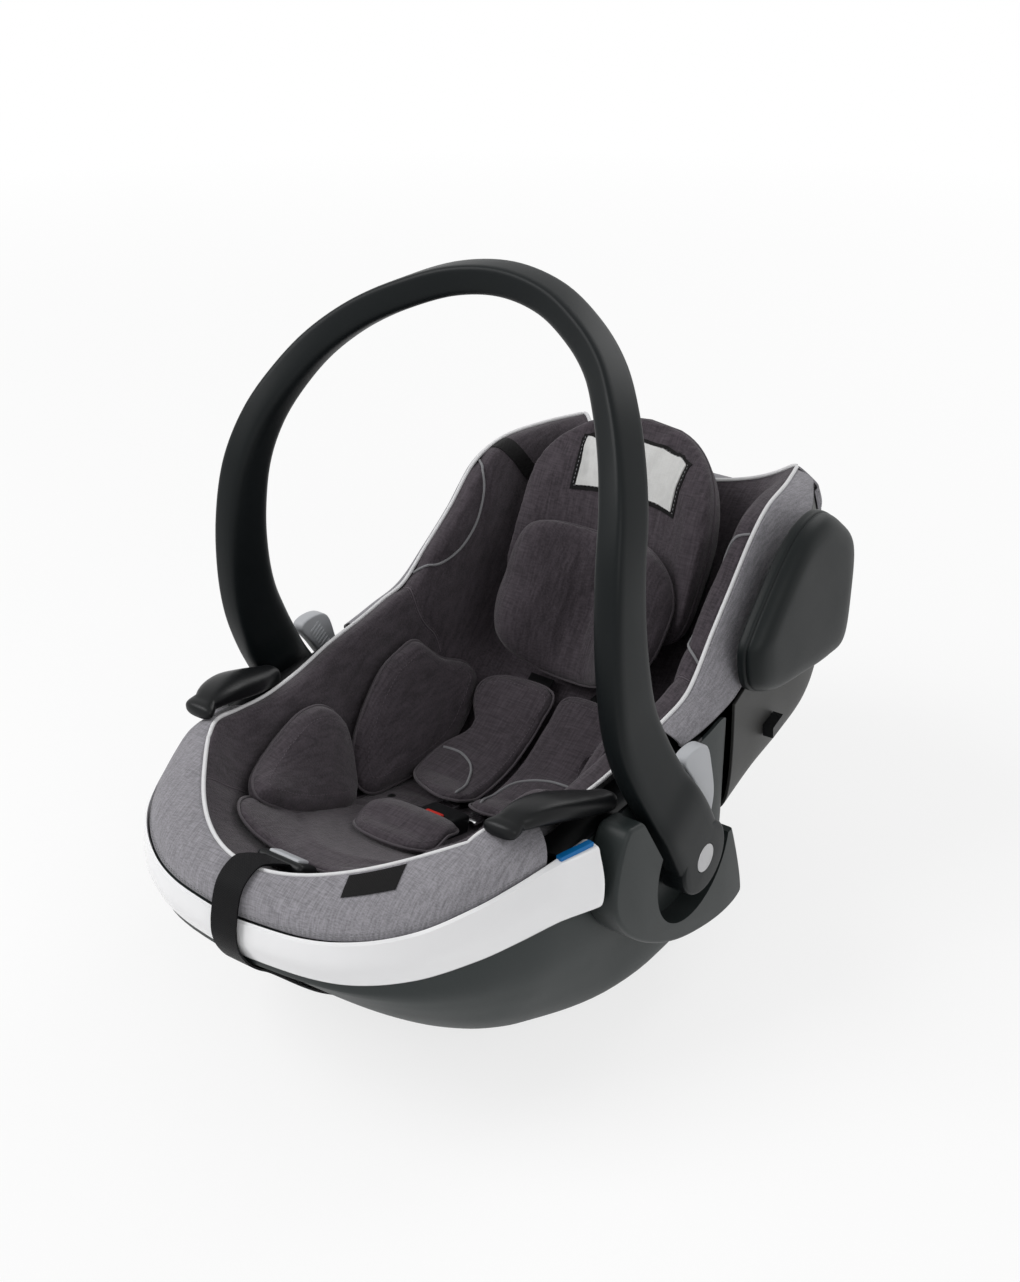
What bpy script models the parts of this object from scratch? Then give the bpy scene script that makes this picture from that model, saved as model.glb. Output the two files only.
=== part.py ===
"""Infant carrier car seat: a padded bucket on a rocker shell with a carrying handle.

The origin lies on the ground below the handle's pivot line, which runs along X.
The foot end points to -Y, the head end to +Y, and +Z is up. Lengths are in metres.
"""
import math

import bpy
import bmesh
from mathutils import Matrix, Vector
from mathutils.bvhtree import BVHTree

PART_NAME = "infant_carrier"

# Driving sizes of the body
BODY_HALF_WIDTH = 0.160
FOOT_REACH = 0.305
HEAD_REACH = 0.325
BODY_HEIGHT = 0.360
PIVOT_HEIGHT_SHARE = 0.40278
PIVOT_HEIGHT = PIVOT_HEIGHT_SHARE * BODY_HEIGHT
SOLE_FRONT = 0.045
SOLE_REAR = 0.065
ROCKER_RADIUS = 0.280
HEEL_RADIUS = 0.050

# Walls and clearances
SHELL_WALL = 0.003
COVER_WALL = 0.004
LINER_WALL = 0.012
TRIM_WALL = 0.003
BAND_WALL = 0.003
WEB_WALL = 0.0016
GAP = 0.0003
LAYER_GAP = 0.0006
RIB_GAP = 0.0009
RIB_TOP_GAP = 0.0012
CUT_OVERRUN = 0.002

# Guide curves as shares: x of the half width, y of the reach on its side, z of the height
SEAT_LINE_SHARES = (
    (-1.0, 0.617), (-0.918, 0.564), (-0.787, 0.494), (-0.623, 0.417), (-0.426, 0.344),
    (-0.23, 0.294), (-0.033, 0.272), (0.154, 0.294), (0.323, 0.375), (0.477, 0.486),
    (0.631, 0.617), (0.738, 0.728), (0.815, 0.819), (0.871, 0.883), (0.898, 0.925),
)
RIM_SIDE_SHARES = (
    (0.819, -0.679, 0.667), (0.863, -0.623, 0.683), (0.919, -0.508, 0.656),
    (0.956, -0.377, 0.636), (0.981, -0.23, 0.639), (1.0, -0.082, 0.658), (1.0, 0.062, 0.675),
    (1.0, 0.169, 0.692), (0.975, 0.252, 0.717), (0.956, 0.345, 0.789), (0.938, 0.452, 0.869),
    (0.925, 0.563, 0.961), (0.887, 0.683, 1.0), (0.825, 0.846, 1.0), (0.737, 1.0, 0.992),
)
# How far the bowl's section is a U with a roll (1) rather than a round arc (0)
BOWL_SHARES = (0, 0.15, 0.45, 0.8, 1, 1, 1, 1, 1, 1, 1, 1, 0.9, 0.6, 0.2)
# The U section from its middle to its piping: share of width, share of depth
WALL_SHARES = (
    (0, 0), (0.11, 0.001), (0.22, 0.005), (0.33, 0.013), (0.44, 0.03), (0.55, 0.065),
    (0.65, 0.13), (0.73, 0.25), (0.785, 0.43), (0.82, 0.65), (0.848, 0.87), (0.905, 1.03),
    (1.0, 1.0),
)
LINER_ROWS = (1, 19)
LINER_COLUMNS = 16

# Rocker shell: top edge and waist, from the foot round the side to the tail
SHELL_EDGE_SHARES = (
    (0, -1.075, 0.525), (0.388, -1.049, 0.528), (0.644, -0.993, 0.536), (0.844, -0.902, 0.55),
    (0.975, -0.777, 0.567), (1.044, -0.666, 0.578), (1.1, -0.541, 0.589),
    (1.137, -0.393, 0.597), (1.144, -0.197, 0.6), (1.144, 0, 0.603), (1.144, 0.169, 0.611),
    (1.131, 0.277, 0.617), (1.087, 0.323, 0.569), (0.969, 0.335, 0.458),
    (0.625, 0.338, 0.314), (0, 0.338, 0.286),
)
SHELL_WAIST_SHARES = (
    (0, -1.056, 0.417), (0.375, -1.03, 0.417), (0.613, -0.984, 0.419), (0.819, -0.892, 0.425),
    (0.969, -0.764, 0.433), (1.05, -0.656, 0.439), (1.109, -0.541, 0.444),
    (1.141, -0.393, 0.45), (1.147, -0.197, 0.45), (1.147, 0, 0.45), (1.147, 0.169, 0.45),
    (1.131, 0.277, 0.444), (1.087, 0.323, 0.417), (0.969, 0.335, 0.333),
    (0.625, 0.338, 0.236), (0, 0.338, 0.222),
)
# Rings below the waist: share of the plan at the foot, at the hubs, and share of the drop
HULL_RING_SHARES = (
    (0.985, 1.0, 0.3), (0.945, 0.995, 0.5), (0.90, 0.985, 0.65), (0.85, 0.965, 0.78),
    (0.79, 0.935, 0.88), (0.72, 0.89, 0.95), (0.64, 0.83, 1), (0.54, 0.72, 1),
    (0.43, 0.58, 1), (0.31, 0.43, 1), (0.19, 0.27, 1), (0.07, 0.10, 1),
)
HULL_CENTRE_SHARE = -0.262
HULL_FOOT_SHARE = -0.55
HULL_HUB_SHARE = 0.05

# Back shell: upper edges, middle line, and its section from middle to edge
BACK_EDGE_SHARES = (
    (1.125, 0.343, 0.624), (1.1, 0.462, 0.656), (1.075, 0.585, 0.714), (1.062, 0.677, 0.792),
    (1.03, 0.763, 0.869), (0.97, 0.877, 0.925), (0.845, 1.0, 0.953),
)
BACK_LINE_SHARES = (
    (0.343, 0.294), (0.529, 0.325), (0.723, 0.336), (0.892, 0.372), (0.991, 0.458),
    (1.028, 0.625), (1.028, 0.894),
)
BACK_WALL_SHARES = (
    (0, 1), (0.2, 1), (0.4, 1), (0.6, 1), (0.78, 0.995), (0.91, 0.96), (0.975, 0.86),
    (1.0, 0.66), (1.005, 0.36), (1, 0),
)

# Steel bars and ribs in the base
DOCK_BAR_RADIUS = 0.006
DOCK_BAR_SPAN_SHARE = 0.52
DOCK_BAR_Y_SHARES = (-0.46, 0.16)
DOCK_BAR_FLOOR = 0.016
DOCK_WINDOW_SHARE = 0.34
DOCK_WINDOW_LENGTH = 0.036
RIB_WALL = 0.005
RIB_SPREAD_SHARE = 0.44
BASE_RIB_SHARES = (-0.76, 0.27)
BACK_RIB_SHARES = (0.38, 0.84)

# White trim round the rocker's rim, and the blue slides on it
TRIM_TOP_RISES = (0.001, 0.002, 0.003, 0.004, 0.004, 0.004, 0.005, 0.010)
TRIM_FLARES = (0, 0, 0, 0, 0, 0.001, 0.004, 0.020)
TRIM_FOOT_RISE = 0.007
TRIM_BULGE = 0.004
TRIM_END_SHARE = 6.75
TRIM_SIDE_GAP = 0.0011
SLIDE_START_SHARE = 6.1
SLIDE_END_SHARE = 6.7
SLIDE_HEIGHT = 0.004
SLIDE_WIDTH = 0.006

# Grey covers between the piping and the shells
BAND_BULGE = 0.009
BAND_END_SHARE = 5.9
BAND_CORNER_SHARE = 4.0
BAND_PACE_SHARE = 0.083
BAND_EDGE_RISE = 0.0045
BAND_EDGE_INSET = 0.0045
BAND_TILT_SHARE = 0.55
BAND_TUCK = 0.0009
WING_ALONG_SHARES = (0.46, 0.985)
WING_BULGE = 0.006
WING_EDGE_SHARES = (
    (1.11, 0.154, 0.630), (1.11, 0.24, 0.634), (1.10, 0.33, 0.640), (1.085, 0.40, 0.652),
    (1.07, 0.50, 0.683), (1.05, 0.60, 0.737), (1.03, 0.70, 0.822), (0.99, 0.80, 0.895),
    (0.93, 0.90, 0.945), (0.82, 1.0, 0.965),
)

# Ledges between the bucket's side rims and the shell's edge: shares of the width and drop
LEDGE_DROP = 0.003
LEDGE_PROFILE_SHARES = (
    (0.95, -1.0), (1.0, -0.733), (1.0625, -0.333), (1.1125, 0.2), (1.14375, 0.2),
)
LEDGE_RANGE_SHARES = (6.3, 9.9)

# Belt hooks on the rims: shares of the body and of the hook's half width and half height
HOOK_HALF_WIDTH = 0.018
HOOK_HALF_HEIGHT = 0.008
HOOK_PATH_SHARES = (
    (1.10312, -0.17705, 0.62778, 0.389, 0.75), (1.0875, -0.27869, 0.63889, 0.556, 0.875),
    (1.04375, -0.38689, 0.66944, 0.889, 1.0), (1.00625, -0.4918, 0.69861, 1.0, 1.0),
    (0.975, -0.58361, 0.71111, 0.778, 0.75), (0.94375, -0.65574, 0.70278, 0.222, 0.375),
)

# Hub housings, pins, washers and caps
HUB_REACH_SHARE = 1.15
HUB_DEPTH = 0.0285
HUB_FLOOR_WALL = 0.0075
HUB_INNER = HUB_REACH_SHARE * BODY_HALF_WIDTH
HUB_OUTER = HUB_INNER + HUB_DEPTH
HUB_FLOOR = HUB_INNER + HUB_FLOOR_WALL
HUB_OUTLINE_SHARES = (
    (-0.377, 0.6167), (-0.4197, 0.4778), (-0.3672, 0.375), (-0.2426, 0.2778), (-0.0721, 0.2),
    (0.1231, 0.1556), (0.24, 0.1611), (0.2523, 0.2083), (0.1908, 0.375), (0.1354, 0.4611),
    (0.0462, 0.5222), (-0.0984, 0.5694), (-0.1967, 0.5972), (-0.3115, 0.6278),
)
HUB_POCKET_CENTRE_SHARES = (-0.0197, 0.4083)
HUB_POCKET_RADIUS = 0.058
HUB_FAN_REACH = 0.250
HUB_FAN_LEAN_DEGREES = -31.0
HUB_FAN_FRONT = 0.034
HUB_FAN_END_DEGREES = 95.0
HUB_FAN_STEP_DEGREES = 1.0
HUB_OVERLAP_SHARE = 0.85
HUB_PLATE_RADIUS = 0.064
PIN_RADIUS = 0.008
PIN_BORE_RADIUS = PIN_RADIUS + GAP
WASHER_RADIUS = 0.022
WASHER_WALL = 0.0014
WASHER_INNER = HUB_FLOOR + GAP
WASHER_OUTER = WASHER_INNER + WASHER_WALL
ARM_WALL = 0.026
ARM_INNER = WASHER_OUTER + GAP
ARM_OUTER = ARM_INNER + ARM_WALL
ARM_END_RADIUS = 0.033
CAP_RADIUS = 0.0125
CAP_SIDE_GAP = 0.0005
CAP_BORE_RADIUS = CAP_RADIUS + CAP_SIDE_GAP
CAP_DEPTH = 0.0032
CAP_PROUD = 0.0005
CAP_OUTER = ARM_OUTER + CAP_PROUD
CAP_INNER = CAP_OUTER - CAP_DEPTH
PIN_END_GAP = 0.0005
PIN_INNER = HUB_INNER + PIN_END_GAP
PIN_OUTER = CAP_INNER - GAP - PIN_END_GAP

# Carrying handle: sizes, and its path from a hub to the top as shares of them
HANDLE_RISE = 0.443
HANDLE_HALF_DEPTH = 0.030
HANDLE_SPAN = (ARM_INNER + ARM_OUTER) / 2
# Shares: x of the span, y and z of the rise, half depth, half width of the arm's wall
HANDLE_PATH_SHARES = (
    (1.001, 0.0, 0.0, 1.0, 1.0), (1.001, -0.0406, 0.0722, 1.0, 1.0),
    (0.9956, -0.0745, 0.1287, 0.95, 1.0), (0.9709, -0.1084, 0.1828, 0.873, 1.0),
    (0.9492, -0.1535, 0.2641, 0.817, 1.0), (0.9322, -0.1896, 0.3499, 0.75, 1.0),
    (0.9201, -0.2065, 0.4402, 0.7, 1.0), (0.9031, -0.2099, 0.5418, 0.65, 1.0),
    (0.8789, -0.1964, 0.6433, 0.6, 1.0), (0.8402, -0.1637, 0.7269, 0.55, 0.985),
    (0.7748, -0.123, 0.7968, 0.5, 0.977), (0.6852, -0.0779, 0.86, 0.467, 0.969),
    (0.5666, -0.0271, 0.912, 0.44, 0.962), (0.4116, 0.0158, 0.9526, 0.427, 0.962),
    (0.2179, 0.0485, 0.9865, 0.417, 0.962), (0.0, 0.0587, 1.0, 0.417, 0.962),
)
HANDLE_BEND_SHARE = 0.5756
HANDLE_SECTIONS = 15
ARM_ROWS = 8
SEARCH_STEPS = 40
# Section of the handle: share of the half width, share of the half depth
HANDLE_SECTION_SHARES = (
    (1.0, 0.62), (0.62, 0.96), (0.0, 1.0), (-0.62, 0.92), (-0.92, 0.60), (-1.0, 0.0),
    (-0.92, -0.60), (-0.62, -0.92), (0.0, -1.0), (0.62, -0.96), (1.0, -0.62), (1.0, 0.0),
)
HANDLE_FIRST_SHARE = 0.35
HANDLE_STEP_SHARE = 0.05

# Squeeze levers behind the handle's arms
LEVER_INSET = 0.0015
LEVER_WALL = 0.012
LEVER_INNER = ARM_INNER + LEVER_INSET
LEVER_OUTER = LEVER_INNER + LEVER_WALL
# Lever outline: share of the arm's half depth behind its middle, share of the rise
LEVER_OUTLINE_SHARES = (
    (1.161, 0.06253), (1.3062, 0.09029), (1.3368, 0.11061), (1.3248, 0.1614),
    (1.2655, 0.21558), (1.8618, 0.22912), (2.4227, 0.21445), (2.2596, 0.15801),
    (1.8793, 0.09481), (1.2767, 0.04605),
)
LEVER_HINGE_SHARES = (1.2248, 0.05463)

# Side guard, its clips and the belt guides behind the back
GUARD_OUTLINE_SHARES = (
    (0.3231, 0.7694), (0.3538, 0.8222), (0.4154, 0.8833), (0.48, 0.9417), (0.56, 0.9972),
    (0.6369, 1.0194), (0.7138, 1.0139), (0.8062, 0.9639), (0.8923, 0.8833), (0.9046, 0.7417),
    (0.8831, 0.6056), (0.7815, 0.5889), (0.6154, 0.6028), (0.4554, 0.625), (0.3538, 0.675),
)
GUARD_REACH_SHARE = 1.125
GUARD_DEPTH = 0.025
GUARD_INNER = GUARD_REACH_SHARE * BODY_HALF_WIDTH
GUARD_OUTER = GUARD_INNER + GUARD_DEPTH
# Rings of the guard from inside to outside: share of its depth, share of its outline
GUARD_RING_SHARES = (
    (0, 0.95), (0.12, 1.0), (0.45, 0.99), (0.75, 0.94), (0.93, 0.85), (1.0, 0.72),
)
CLIP_SIZE = (0.0068, 0.030, 0.022)
CLIP_GAP = 0.0002
CLIP_PLACE_SHARES = (0.6615, 0.6667)
GUIDE_SIZE = (0.012, 0.022, 0.010)
GUIDE_ALONG_SHARE = 0.24
GUIDE_ACROSS_SHARE = 0.80

# Headrest: places along its slide, across it and in front of its back plane
HEADREST_FOOT_SHARES = (0.0, 0.60123, 0.59722)
HEADREST_SLOPE_SHARE = 0.87508
HEADREST_SLOPE = HEADREST_SLOPE_SHARE * HEAD_REACH / BODY_HEIGHT
HEADREST_SIDE_RISE = 0.014
HEADREST_RISE_WIDTH = 0.096
HEADREST_RISE_POWER = 3.5
HEADREST_SHELL_HALF = 0.086
HEADREST_SHELL_ALONG = (0.004, 0.168)
HEADREST_SHELL_WALL = 0.010
HEADREST_COVER_HALF = 0.092
HEADREST_COVER_ALONG = (-0.012, 0.182)
HEADREST_CROWN_DROP = 0.060
CROWN_TAPER_SHARE = 0.16
HEADREST_LEAN_START = 0.080
HEADREST_FORWARD_SHARE = 0.40
HEADREST_FRONT_LOW = 0.022
HEADREST_FRONT_SHARE = 0.30
PILLOW_HALF = 0.088
PILLOW_ALONG = (-0.068, 0.070)
PILLOW_BACK = 0.0165
PILLOW_GAP = 0.0006
PILLOW_SIDE_RISE = 0.024
PILLOW_MIDDLE = 0.020
PILLOW_LOBE = 0.050
PILLOW_LOBE_PLACE = 0.060
PILLOW_LOBE_SPREAD = 0.030

# Rail that carries the headrest
RAIL_HALF = 0.021
RAIL_GAP = 0.0005
RAIL_FOOT_GAP = 0.0013
RAIL_ALONG = (0.014, 0.160)
RAIL_BOWL_SHARES = (0.742, 0.995)

# Inlay pads on the bowl: shares along and across it, and their faces' lifts
CUSHION_PATCH_SHARES = ((0.195, 0.520), (-0.37, 0.37))
CUSHION_LIFTS = (0.0017, 0.0158)
HIP_PATCH_SHARES = ((0.165, 0.355), (0.415, 0.83))
HIP_LIFTS = (0.0019, 0.0280)
TORSO_PATCH_SHARES = ((0.372, 0.590), (0.415, 0.83))
TORSO_LIFTS = (0.0019, 0.0270)
CROTCH_PAD_SHARE = 0.215
CROTCH_ACROSS_SHARES = (-0.19, 0.19)
CROTCH_LIFTS = (0.0202, 0.0360)
SHOULDER_PATCH_SHARES = ((0.410, 0.592), (0.035, 0.33))
SHOULDER_LIFTS = (0.0207, 0.0340)

# Harness
BUCKLE_ALONG_SHARE = 0.338
BUCKLE_SIZE = (0.040, 0.050, 0.020)
BUCKLE_LIFT = 0.0282
BUTTON_SIZE = (0.018, 0.016, 0.006)
BUTTON_RISE = 0.002
BUTTON_BACK_SHARE = -0.18
TONGUE_SIZE = (0.016, 0.022, 0.004)
TONGUE_GAP = 0.0037
TONGUE_ACROSS_SHARE = 0.078
TONGUE_LIFT = 0.0282
WEB_HALF = 0.0125
CROTCH_WEB_SHARE = 0.235
CROTCH_WEB_GAP = 0.0013
CROTCH_WEB_LIFT = 0.0180
CROTCH_PAD_GAP = 0.0017
SHOULDER_WEB_GAP = 0.0021
SHOULDER_WEB_SHARES = (0.425, 0.465, 0.505, 0.545, 0.585, 0.610, 0.625)
SHOULDER_WEB_LIFTS = (
    0.0266, 0.0190, 0.0178, 0.0178, 0.0178, 0.0172, 0.0130, 0.0080,
)
SHOULDER_ACROSS_SHARES = (0.090, 0.180)
LAP_WEB_SHARES = (0.150, 0.240, 0.330, 0.375, 0.402, 0.425)
LAP_WEB_LIFTS = (0.0225, 0.0185, 0.0170, 0.0138, 0.0080, 0.0040)
LAP_WEB_REACHES = (0.0173, 0.0294)

# Adjuster at the foot end, and its strap over the rim: shares of the strap's middle line
ADJUSTER_ALONG_SHARE = 0.095
ADJUSTER_SIZE = (0.046, 0.024, 0.010)
ADJUSTER_LIFT = 0.0078
ADJUSTER_BUTTON_SIZE = (0.030, 0.014, 0.006)
ADJUSTER_BUTTON_RISE = 0.002
STRAP_PATH_SHARES = (
    (-0.89902, 0.58139), (-0.93115, 0.59944), (-0.96721, 0.61722), (-1.00328, 0.62889),
    (-1.04, 0.62139), (-1.0682, 0.60222), (-1.08328, 0.575), (-1.0918, 0.54722),
    (-1.09836, 0.51944), (-1.09967, 0.49028), (-1.09213, 0.46056), (-1.07639, 0.43278),
)
# Then under the rocker shell: shares of the foot's reach, and drops below the shell
STRAP_UNDER_SHARES = (-1.05639, -1.03049, -0.99672, -0.95082, -0.88525, -0.81967, -0.7541)
STRAP_DROPS = (0.0035, 0.0031, 0.0029, 0.0030, 0.0028, 0.0027, 0.0021)
STRAP_STEPS = 36
STRAP_TURN_SHARE = 0.1

# Mesh density
SEAT_ROWS = 20
SEAT_COLUMNS = 20
HULL_STEPS = 40
BACK_ROWS = 10
BACK_COLUMNS = 18
ROUND_STEPS = 24
SMALL_ROUND_STEPS = 14
RIB_STEPS = 24
HOOK_STEPS = 12
PAD_STEPS = (18, 10)
STEP_SHARE = 0.004

SIDES = (("left", -1), ("right", 1))


def new_material(name, color, roughness, metallic=0.0):
    """Principled material with one plain colour."""
    material = bpy.data.materials.new(name)
    material.use_nodes = True
    shader = material.node_tree.nodes["Principled BSDF"]
    shader.inputs["Base Color"].default_value = (*color, 1.0)
    shader.inputs["Roughness"].default_value = roughness
    shader.inputs["Metallic"].default_value = metallic
    return material


def make_materials():
    """Finishes named for what they are on the real seat."""
    return {
        "shell": new_material("shell_plastic", (0.036, 0.044, 0.045), 0.55),
        "handle": new_material("handle_plastic", (0.022, 0.027, 0.029), 0.45),
        "black": new_material("black_plastic", (0.012, 0.014, 0.015), 0.40),
        "white": new_material("white_plastic", (0.78, 0.78, 0.79), 0.25),
        "blue": new_material("blue_plastic", (0.0, 0.10, 0.42), 0.35),
        "lever": new_material("lever_plastic", (0.40, 0.42, 0.45), 0.45),
        "silver": new_material("cap_silver", (0.60, 0.60, 0.58), 0.35, 0.6),
        "steel": new_material("steel", (0.55, 0.56, 0.58), 0.30, 1.0),
        "foam": new_material("liner_foam", (0.70, 0.70, 0.70), 0.90),
        "dark": new_material("dark_fabric", (0.060, 0.048, 0.054), 0.95),
        "grey": new_material("grey_fabric", (0.235, 0.230, 0.250), 0.95),
        "web": new_material("webbing", (0.010, 0.010, 0.011), 0.75),
        "red": new_material("red_plastic", (0.50, 0.02, 0.02), 0.35),
    }


def clear_scene():
    """Remove every object and collection that the file opened with."""
    for item in list(bpy.data.objects):
        bpy.data.objects.remove(item, do_unlink=True)
    for group in list(bpy.data.collections):
        bpy.data.collections.remove(group)


class Kit:
    """The collections and materials that every sub-part uses."""

    def __init__(self):
        self.parts = bpy.data.collections.new(PART_NAME)
        self.cutters = bpy.data.collections.new("cutters")
        for group in (self.parts, self.cutters):
            bpy.context.scene.collection.children.link(group)
        self.materials = make_materials()

    def add(self, name, mesh, material, origin=(0.0, 0.0, 0.0)):
        """Turn a bmesh into a named part whose origin lies at the given point."""
        bmesh.ops.translate(mesh, vec=-Vector(origin), verts=mesh.verts[:])
        data = bpy.data.meshes.new(name)
        mesh.to_mesh(data)
        mesh.free()
        data.shade_smooth()
        data.set_sharp_from_angle(angle=math.radians(35))
        part = bpy.data.objects.new(name, data)
        part.location = origin
        data.materials.append(self.materials[material])
        self.parts.objects.link(part)
        return part

    def cutter(self, name, mesh):
        """Turn a bmesh into a hidden cutter."""
        data = bpy.data.meshes.new(name)
        mesh.to_mesh(data)
        mesh.free()
        tool = bpy.data.objects.new(name, data)
        tool.hide_render = True
        tool.display_type = "WIRE"
        self.cutters.objects.link(tool)
        return tool


def boolean(part, tool, operation="DIFFERENCE"):
    """Cut a part with a tool, or join the tool to it."""
    modifier = part.modifiers.new(tool.name, "BOOLEAN")
    modifier.operation = operation
    modifier.object = tool
    modifier.solver = "EXACT"


def spline(rows, position):
    """Smooth curve through rows of numbers, where position counts rows from zero."""
    last = len(rows) - 1
    position = min(max(position, 0.0), float(last))
    index = min(int(position), last - 1)
    part = position - index
    four = [rows[min(max(index + step, 0), last)] for step in (-1, 0, 1, 2)]
    values = []
    for a, b, c, d in zip(*four):
        values.append(0.5 * (2 * b + (c - a) * part + (2 * a - 5 * b + 4 * c - d) * part ** 2
                             + (3 * b - a - 3 * c + d) * part ** 3))
    return tuple(values)


def ease(value):
    """Smooth step from 0 to 1."""
    value = min(max(value, 0.0), 1.0)
    return value * value * (3 - 2 * value)


def blend(low, high, part):
    """Value between two numbers."""
    return low + (high - low) * part


def reach(share):
    """Distance along Y for a share of the foot's or the head's reach."""
    return share * (FOOT_REACH if share < 0 else HEAD_REACH)


def body_point(shares):
    """Point on the right half of the body from its three shares."""
    return Vector((shares[0] * BODY_HALF_WIDTH, reach(shares[1]), shares[2] * BODY_HEIGHT))


def side_place(shares):
    """Y and Z of a place on the body from its two shares."""
    return reach(shares[0]), shares[1] * BODY_HEIGHT


def arm_place(shares):
    """Y and Z of a place on the handle's arm from its two shares of the rise."""
    return shares[0] * HANDLE_RISE, PIVOT_HEIGHT + shares[1] * HANDLE_RISE


def seat_point(along, across):
    """Point of the bowl's inner face: along 0 (foot) to 1 (head), across -1 to 1."""
    position = along * (len(SEAT_LINE_SHARES) - 1)
    line_y, line_z = spline(SEAT_LINE_SHARES, position)
    rim = body_point(spline(RIM_SIDE_SHARES, position))
    bowl = spline([(share,) for share in BOWL_SHARES], position)[0]
    side = min(abs(across), 1.0)
    arc = math.sin(side * math.pi / 2)
    width, depth = spline(WALL_SHARES, side * (len(WALL_SHARES) - 1))
    middle = Vector((0.0, reach(line_y), line_z * BODY_HEIGHT))
    point = middle.lerp(rim, blend(arc ** 2, depth, bowl))
    point.x = math.copysign(blend(arc, width, bowl) * rim.x, across)
    return point


def surface_frame(surface, along, across):
    """Point, direction along, direction across and normal of a surface."""
    low, high = max(along - STEP_SHARE, 0.0), min(along + STEP_SHARE, 1.0)
    left, right = max(across - STEP_SHARE, -1.0), min(across + STEP_SHARE, 1.0)
    forward = (surface(high, across) - surface(low, across)).normalized()
    sideways = (surface(along, right) - surface(along, left)).normalized()
    return surface(along, across), forward, sideways, sideways.cross(forward).normalized()


def lifted(surface):
    """The surface with a third value, the height along its normal."""
    def place(along, across, lift):
        point, _, _, normal = surface_frame(surface, along, across)
        return point + normal * lift
    return place


seat_lift = lifted(seat_point)


def slab(columns, rows, place, near, far):
    """Closed layer between two lifts of a placed sheet; u and v run from -1 to 1."""
    mesh = bmesh.new()
    bmesh.ops.create_grid(mesh, x_segments=columns, y_segments=rows, size=1)
    base = set(mesh.verts)
    bmesh.ops.extrude_face_region(mesh, geom=mesh.faces[:], use_keep_orig=True)
    for vert in mesh.verts:
        u, v = vert.co.x, vert.co.y
        vert.co = place(u, v, near if vert in base else far)
    bmesh.ops.triangulate(mesh, faces=mesh.faces[:], quad_method="FIXED")
    return facing_out(mesh)


def facing_out(mesh):
    """Turn every face of a closed mesh outwards."""
    bmesh.ops.recalc_face_normals(mesh, faces=mesh.faces[:])
    if mesh.calc_volume(signed=True) < 0:
        bmesh.ops.reverse_faces(mesh, faces=mesh.faces[:])
    return mesh


def patch(surface, along, across, lifts, columns, rows):
    """Layer over a patch of a lifted surface, between two lifts."""
    def place(u, v, lift):
        return surface(blend(*along, (v + 1) / 2), blend(*across, (u + 1) / 2), lift)
    return slab(columns, rows, place, *lifts)


def cushion(surface, along, across, lifts, square_share=0.60, steps=PAD_STEPS):
    """Crowned pad with drawn-in sides, wrapped over a patch of a lifted surface."""
    mesh = bmesh.new()
    bmesh.ops.create_uvsphere(mesh, u_segments=steps[0], v_segments=steps[1], radius=1)
    for vert in mesh.verts:
        a, b, c = (math.copysign(abs(value) ** square_share, value) for value in vert.co)
        vert.co = surface(blend(*along, (b + 1) / 2), blend(*across, (a + 1) / 2),
                          blend(*lifts, (c + 1) / 2))
    return facing_out(mesh)


def loft(sections):
    """Closed skin over rings of equal point counts, with flat ends."""
    mesh = bmesh.new()
    rings = [[mesh.verts.new(point) for point in ring] for ring in sections]
    count = len(rings[0])
    for low, high in zip(rings, rings[1:]):
        for index in range(count):
            after = (index + 1) % count
            mesh.faces.new((low[index], low[after], high[after], high[index]))
    mesh.faces.new(rings[0][::-1])
    mesh.faces.new(rings[-1])
    return facing_out(mesh)


def prism(outline, low_x, high_x):
    """Solid between two planes across X, over an outline of (y, z) points."""
    return loft([[Vector((x, y, z)) for y, z in outline] for x in (low_x, high_x)])


def disc(centre, radius, low_x, high_x, steps=ROUND_STEPS):
    """Cylinder along X about a centre given in Y and Z."""
    mesh = bmesh.new()
    turn = Matrix.Rotation(math.pi / 2, 4, "Y")
    move = Matrix.Translation(((low_x + high_x) / 2, centre[0], centre[1]))
    bmesh.ops.create_cone(mesh, cap_ends=True, segments=steps, radius1=radius,
                          radius2=radius, depth=high_x - low_x, matrix=move @ turn)
    return mesh


def block(frame, size, centre_lift, shift_along=0.0):
    """Box on a surface frame: size is (across, along, up), lifted to its middle height."""
    point, forward, _, normal = frame
    side = forward.cross(normal).normalized()
    axes = Matrix((side, forward, normal)).transposed().to_4x4()
    scale = Matrix.Diagonal((*size, 1.0))
    move = Matrix.Translation(point + normal * centre_lift + forward * shift_along)
    mesh = bmesh.new()
    bmesh.ops.create_cube(mesh, size=1, matrix=move @ axes @ scale)
    return mesh


def soften(mesh, width, segments=2, angle=40):
    """Round the edges of a mesh that turn by more than an angle."""
    sharp = [edge for edge in mesh.edges if edge.calc_face_angle(0) > math.radians(angle)]
    bmesh.ops.bevel(mesh, geom=sharp, offset=width, segments=segments, profile=0.5,
                    affect="EDGES", clamp_overlap=True)
    return mesh


def mirrored(mesh, side):
    """The mesh itself for the right side, its mirror image across X for the left."""
    if side < 0:
        bmesh.ops.scale(mesh, vec=(-1, 1, 1), verts=mesh.verts[:])
        bmesh.ops.reverse_faces(mesh, faces=mesh.faces[:])
    return mesh


def mirrored_point(point, side):
    """The point itself for the right side, its mirror image for the left."""
    return Vector((point[0] * side, point[1], point[2]))


def sole_height(y):
    """Height of the rocker's underside: flat in the middle, round to both ends."""
    if y < -SOLE_FRONT:
        return (y + SOLE_FRONT) ** 2 / (2 * ROCKER_RADIUS)
    if y > SOLE_REAR:
        return (y - SOLE_REAR) ** 2 / (2 * HEEL_RADIUS)
    return 0.0


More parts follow.
